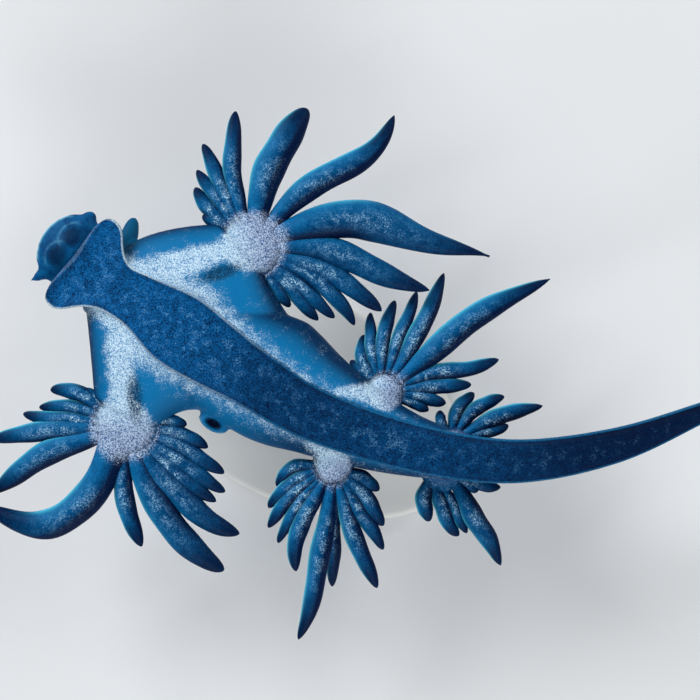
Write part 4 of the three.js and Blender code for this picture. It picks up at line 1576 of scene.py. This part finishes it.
        skin.marks = {
            "silver": silver * (1.0 - navy) * (1.0 - teal),
            "dent": dent,
            # Painted shade on the steep flanks, and the tail darker.
            "edge": self.edge(tilt, distance, aside),
            "cap": cap,
            "outer": outer,
            "groove": groove,
            "back": self.back * lower * (1.0 - horn),
            "teal": teal,
            "navy": np.maximum(navy, self.tail_navy * smooth(*self.tail_start, distance)),
            # The cheeks' own dark, and painted shade in the papilla's sunk pit.
            "ink": np.maximum(ink, sunk),
            "line": np.maximum(line, lip),
        }
        return skin.show("skin", finish.material(), "skin", FLESH)


@dataclass
class Foot:
    """The sole: a thin sheet along the belly from the front lobes to the tail, with a rim raised round it.

    The steps are in millimetres along the foot or in from its edge, and a rise by how far up its section.
    """

    thick: float = 0.5
    rim: float = 0.13
    rim_width: float = 0.16
    rim_rise: Step = (-0.2, 0.4)
    lip: float = 0.16
    hollow: float = 0.22
    hollow_half: float = 0.5
    hollow_reach: float = 0.8
    dish: float = 0.12
    dish_edge: Step = (0.1, 1.2)
    dish_rise: Step = (0.0, 0.5)
    boxy: float = 0.72
    rows: int = 420
    sides: int = 96
    crowding: float = 2.2
    crowded: float = 0.55
    thinning: float = 6.0
    thinnest: float = 0.35
    line_edge: Step = (0.05, 0.13)
    line_rise: Step = (-0.1, 0.35)
    line_start: Step = (0.15, 0.6)
    line_faint: float = 0.12
    line_end: Step = (2.5, 5.0)
    fleck_edge: Step = (0.15, 0.9)
    fleck_plain: float = 0.22
    fleck_front: Step = (6.0, 5.0)
    fleck_rear: Step = (17.5, 3.0)
    side_rise: Step = (-0.15, 0.35)
    pale: float = 0.9
    pale_start: Step = (1.2, 2.6)
    pale_end: Step = (8.0, 13.0)
    aft_start: Step = (7.0, 12.0)
    light_edge: Step = (0.0, 0.5)
    nodes: tuple = ("foot_front", "foot_middle", "foot_rear")

    def build(self, finish: FootFinish) -> bpy.types.Object:
        """Carries a flat squared oval along the midline, closed to a thin lip at the front.

        Args:
            finish: the foot's finish.

        Returns:
            The foot.
        """
        s = np.linspace(0.0, 1.0, self.rows)[:, None]
        d = TAIL_END * ((1 - self.crowded) * s + self.crowded * s**self.crowding)
        half = FOOT_HALF.at(d)
        across, lift = squared(self.sides, self.boxy)
        front = np.sqrt(np.clip(1 - (1 - np.clip(d / self.lip, 0, 1)) ** 2, 0.03, 1))
        ending = self.thinnest + (1 - self.thinnest) * smooth(0.0, self.thinning, TAIL_END - d)
        inner = np.minimum(half * (1 - np.abs(across)), d)
        raised = self.rim * bell(inner, self.rim_width / 2, self.rim_width) * smooth(*self.rim_rise, lift)
        dish = self.dish * smooth(*self.dish_edge, inner) * smooth(*self.dish_rise, lift)
        level = FOOT_LEVEL.at(d) - self.thick / 2 + self.thick / 2 * front * ending * lift + raised - dish
        hollow = self.hollow * bell(across, 0.0, self.hollow_half) * np.exp(-d / self.hollow_reach)
        rings = SPINE.beside(d + hollow, FOOT_SHIFT.at(d) + half * across, level)
        made = Surface.loft(rings, self.marks(d, inner, lift))
        return made.show("foot", finish.material(), "foot", self.nodes)

    def marks(self, d: np.ndarray, inner: np.ndarray, lift: np.ndarray) -> dict[str, np.ndarray]:
        """The foot's markings on its grid.

        rim is the pale line along its edge, middle the flecks down it, side its edge seen from beside, pale
        how white that side is, aft where the line turns blue, and light how bright the sole is.

        Args:
            d: how far along, one row each.
            inner: how far in from the edge.
            lift: how far up the section, one column each.

        Returns:
            The marks by name.
        """
        bright = self.line_faint + (1 - self.line_faint) * smooth(*self.line_start, d)
        bright = bright * (1.0 - 0.5 * smooth(*self.line_end, d))
        flecks = self.fleck_plain + 0.38 * bell(d, *self.fleck_front) + 0.4 * bell(d, *self.fleck_rear)
        pale = self.pale * smooth(*self.pale_start, d) * (1.0 - smooth(*self.pale_end, d))
        return {
            "rim": (1.0 - smooth(*self.line_edge, inner)) * smooth(*self.line_rise, lift) * bright,
            "middle": smooth(*self.fleck_edge, inner) * flecks,
            "side": 1.0 - smooth(*self.side_rise, lift + 0 * d),
            "pale": pale + 0 * inner,
            "aft": smooth(*self.aft_start, d) + 0 * inner,
            "light": FOOT_LIGHT.at(d) * (0.75 + 0.25 * smooth(*self.light_edge, inner)),
        }


@dataclass
class Fans:
    """The fans of cerata, one piece for each node of them."""

    form: CerasForm = field(default_factory=CerasForm)

    def build(self, finish: CerasFinish) -> None:
        """Builds each arm's fans, with its cerata numbered from its first fan to its last.

        Args:
            finish: the cerata's finish.
        """
        material = finish.material()
        for arm in ARMS:
            numbers = itertools.count()
            for (fan, cerata), droop in zip(arm.fans.items(), arm.droop):
                shapes = [self.form.surface(arm, spec, droop, next(numbers)) for spec in cerata]
                node = f"cerata_{arm.name}_{fan}" if fan else f"cerata_{arm.name}"
                Surface.join(shapes).show(f"{node}_soft", material, "cerata", (node,))


@dataclass
class Stand:
    """The display stand: an oval plate with rounded edges, and two rods with collars."""

    length: float = 19.0
    width: float = 11.0
    thick: float = 1.6
    turn: float = -27.0
    edge: float = 0.35
    edge_rows: int = 8
    plate_sides: int = 128
    rod: float = 0.45
    rod_sides: int = 48
    rod_sunk: float = 0.1
    rod_reach: float = 0.8
    collar: float = 0.8
    collar_height: float = 0.5
    collar_edge: float = 0.12
    fillet: float = 0.02
    rods: tuple = (("front", 8.4), ("rear", 17.6))

    def build(self, base: PlainFinish, metal: PlainFinish) -> None:
        """Builds the plate and the rods.

        Args:
            base: the plate's finish.
            metal: the rods' finish.
        """
        self.plate().show("stand_plate", base.material(), "stand_base", ("stand_base",))
        material = metal.material()
        for name, distance in self.rods:
            self.post(distance).show(f"stand_post_{name}", material, "stand_rod", (f"stand_rod_{name}",))

    def plate(self) -> Surface:
        """Ovals stacked into a plate: the outline shrinks by a quarter circle at each edge.

        Returns:
            The closed surface.
        """
        quarter = np.linspace(0.0, math.pi / 2, self.edge_rows)
        falling, rising = self.edge * (1 - np.sin(quarter)), self.edge * (1 - np.cos(quarter))
        upper = self.thick - self.edge + self.edge * np.sin(quarter)
        inset = np.concatenate([[1.0], falling, rising, [1.0]])[:, None]
        level = np.concatenate([[0.0], rising, upper, [self.thick]])[:, None]
        along = (self.length / 2 - inset) * ray(self.turn)
        aside = (self.width / 2 - inset) * ray(self.turn + 90)
        return Surface.loft(ringed(level * UP, along, aside, self.plate_sides))

    def post(self, distance: float) -> Surface:
        """A rod turned about its axis, with a collar at its foot, up into the body.

        Args:
            distance: where it stands along the midline.

        Returns:
            The closed surface.
        """
        foot = SPINE.beside(np.array(distance), BODY_SHIFT.at(distance), np.array(-MID_HEIGHT))
        top = MID_HEIGHT + float(FOOT_LEVEL.at(distance) - self.rod_reach * BODY_DEPTH.at(distance))
        low, high = self.thick - self.rod_sunk, self.thick + self.collar_height
        bevel = self.collar_edge / 3
        radius, height = np.array([
            (self.collar, low), (self.collar, high - self.collar_edge), (self.collar - bevel, high - bevel),
            (self.collar - self.collar_edge, high), (self.rod + self.fillet, high),
            (self.rod, high + self.fillet), (self.rod, top),
        ]).T[..., None]
        return Surface.loft(ringed(foot + height * UP, radius * ray(0), radius * ray(90), self.rod_sides))


@dataclass
class Studio:
    """A pale floor, soft lights and the camera straight above the animal, in millimetres."""

    middle: tuple = (2.88, 2.4, 9.0)
    frame: float = 33.6
    lens: float = 85.0
    sensor: float = 36.0
    clip: tuple = (5.0, 2000.0)
    floor: float = 600.0
    paper: PlainFinish = PlainFinish("floor_paper", 0.8, grain=400.0, bump=0.0, tint=rgb(232, 234, 236))
    glow: tuple = rgb(226, 232, 238)
    glow_strength: float = 0.2
    light_size: float = 130.0
    lights: tuple = (
        ("key", (-150.0, 150.0, 140.0), 0.55),
        ("side", (190.0, 110.0, 130.0), 0.24),
        ("fill", (40.0, -200.0, 130.0), 0.32),
    )

    def build(self) -> None:
        """Builds the floor, the lights, the background and the camera."""
        bpy.context.scene.view_settings.view_transform = "Standard"
        self.lay_floor()
        for name, place, power in self.lights:
            self.light(name, np.array(place), power)
        self.surround()
        self.aim_camera()

    def lay_floor(self) -> None:
        """Lays the square floor."""
        span = self.floor / 2
        corners = np.array([(-span, -span, 0), (span, -span, 0), (span, span, 0), (-span, span, 0)]) * MM
        mesh = bpy.data.meshes.new("floor")
        mesh.from_pydata(corners.tolist(), [], [(0, 1, 2, 3)])
        mesh.materials.append(self.paper.material())
        floor = bpy.data.objects.new("floor", mesh)
        bpy.context.scene.collection.objects.link(floor)

    def light(self, name: str, place: np.ndarray, power: float) -> None:
        """Adds a square soft light that faces the animal.

        Args:
            name: its name.
            place: where it stands.
            power: its power in watts.
        """
        data = bpy.data.lights.new(name, "AREA")
        data.size = self.light_size * MM
        data.energy = power
        made = bpy.data.objects.new(name, data)
        aim = place - np.array(self.middle)
        flat = math.hypot(aim[0], aim[1])
        made.location = (place * MM).tolist()
        made.rotation_euler = (math.atan2(flat, aim[2]), 0.0, math.atan2(aim[1], aim[0]) + math.pi / 2)
        bpy.context.scene.collection.objects.link(made)

    def surround(self) -> None:
        """Lights everything evenly from all round."""
        world = bpy.data.worlds.new("studio")
        world.use_nodes = True
        background = world.node_tree.nodes["Background"]
        background.inputs["Color"].default_value = self.glow
        background.inputs["Strength"].default_value = self.glow_strength
        bpy.context.scene.world = world

    def aim_camera(self) -> None:
        """Sets the camera above the middle, at the height from which the frame's width fills the picture."""
        data = bpy.data.cameras.new("camera")
        data.lens, data.sensor_width = self.lens, self.sensor
        data.clip_start, data.clip_end = (MM * clip for clip in self.clip)
        camera = bpy.data.objects.new("camera", data)
        rise = self.frame * self.lens / self.sensor
        camera.location = ((np.array(self.middle) + rise * UP) * MM).tolist()
        bpy.context.scene.collection.objects.link(camera)
        bpy.context.scene.camera = camera


def main() -> None:
    """Builds the animal, its stand and the studio."""
    logging.basicConfig(level=logging.INFO, format="%(name)s: %(message)s")
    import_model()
    Skin().build(SkinFinish("slug_skin", 0.5))
    Foot().build(FootFinish("slug_foot", 0.55))
    Fans().build(CerasFinish("slug_cerata", 0.48))
    Stand().build(
        PlainFinish("stand_satin", 0.4, grain=900.0, bump=0.02),
        PlainFinish("stand_steel", 0.28, grain=1500.0, bump=0.05, metallic=1.0, tint=rgb(206, 208, 212)),
    )
    Studio().build()


if __name__ == "__main__":
    main()
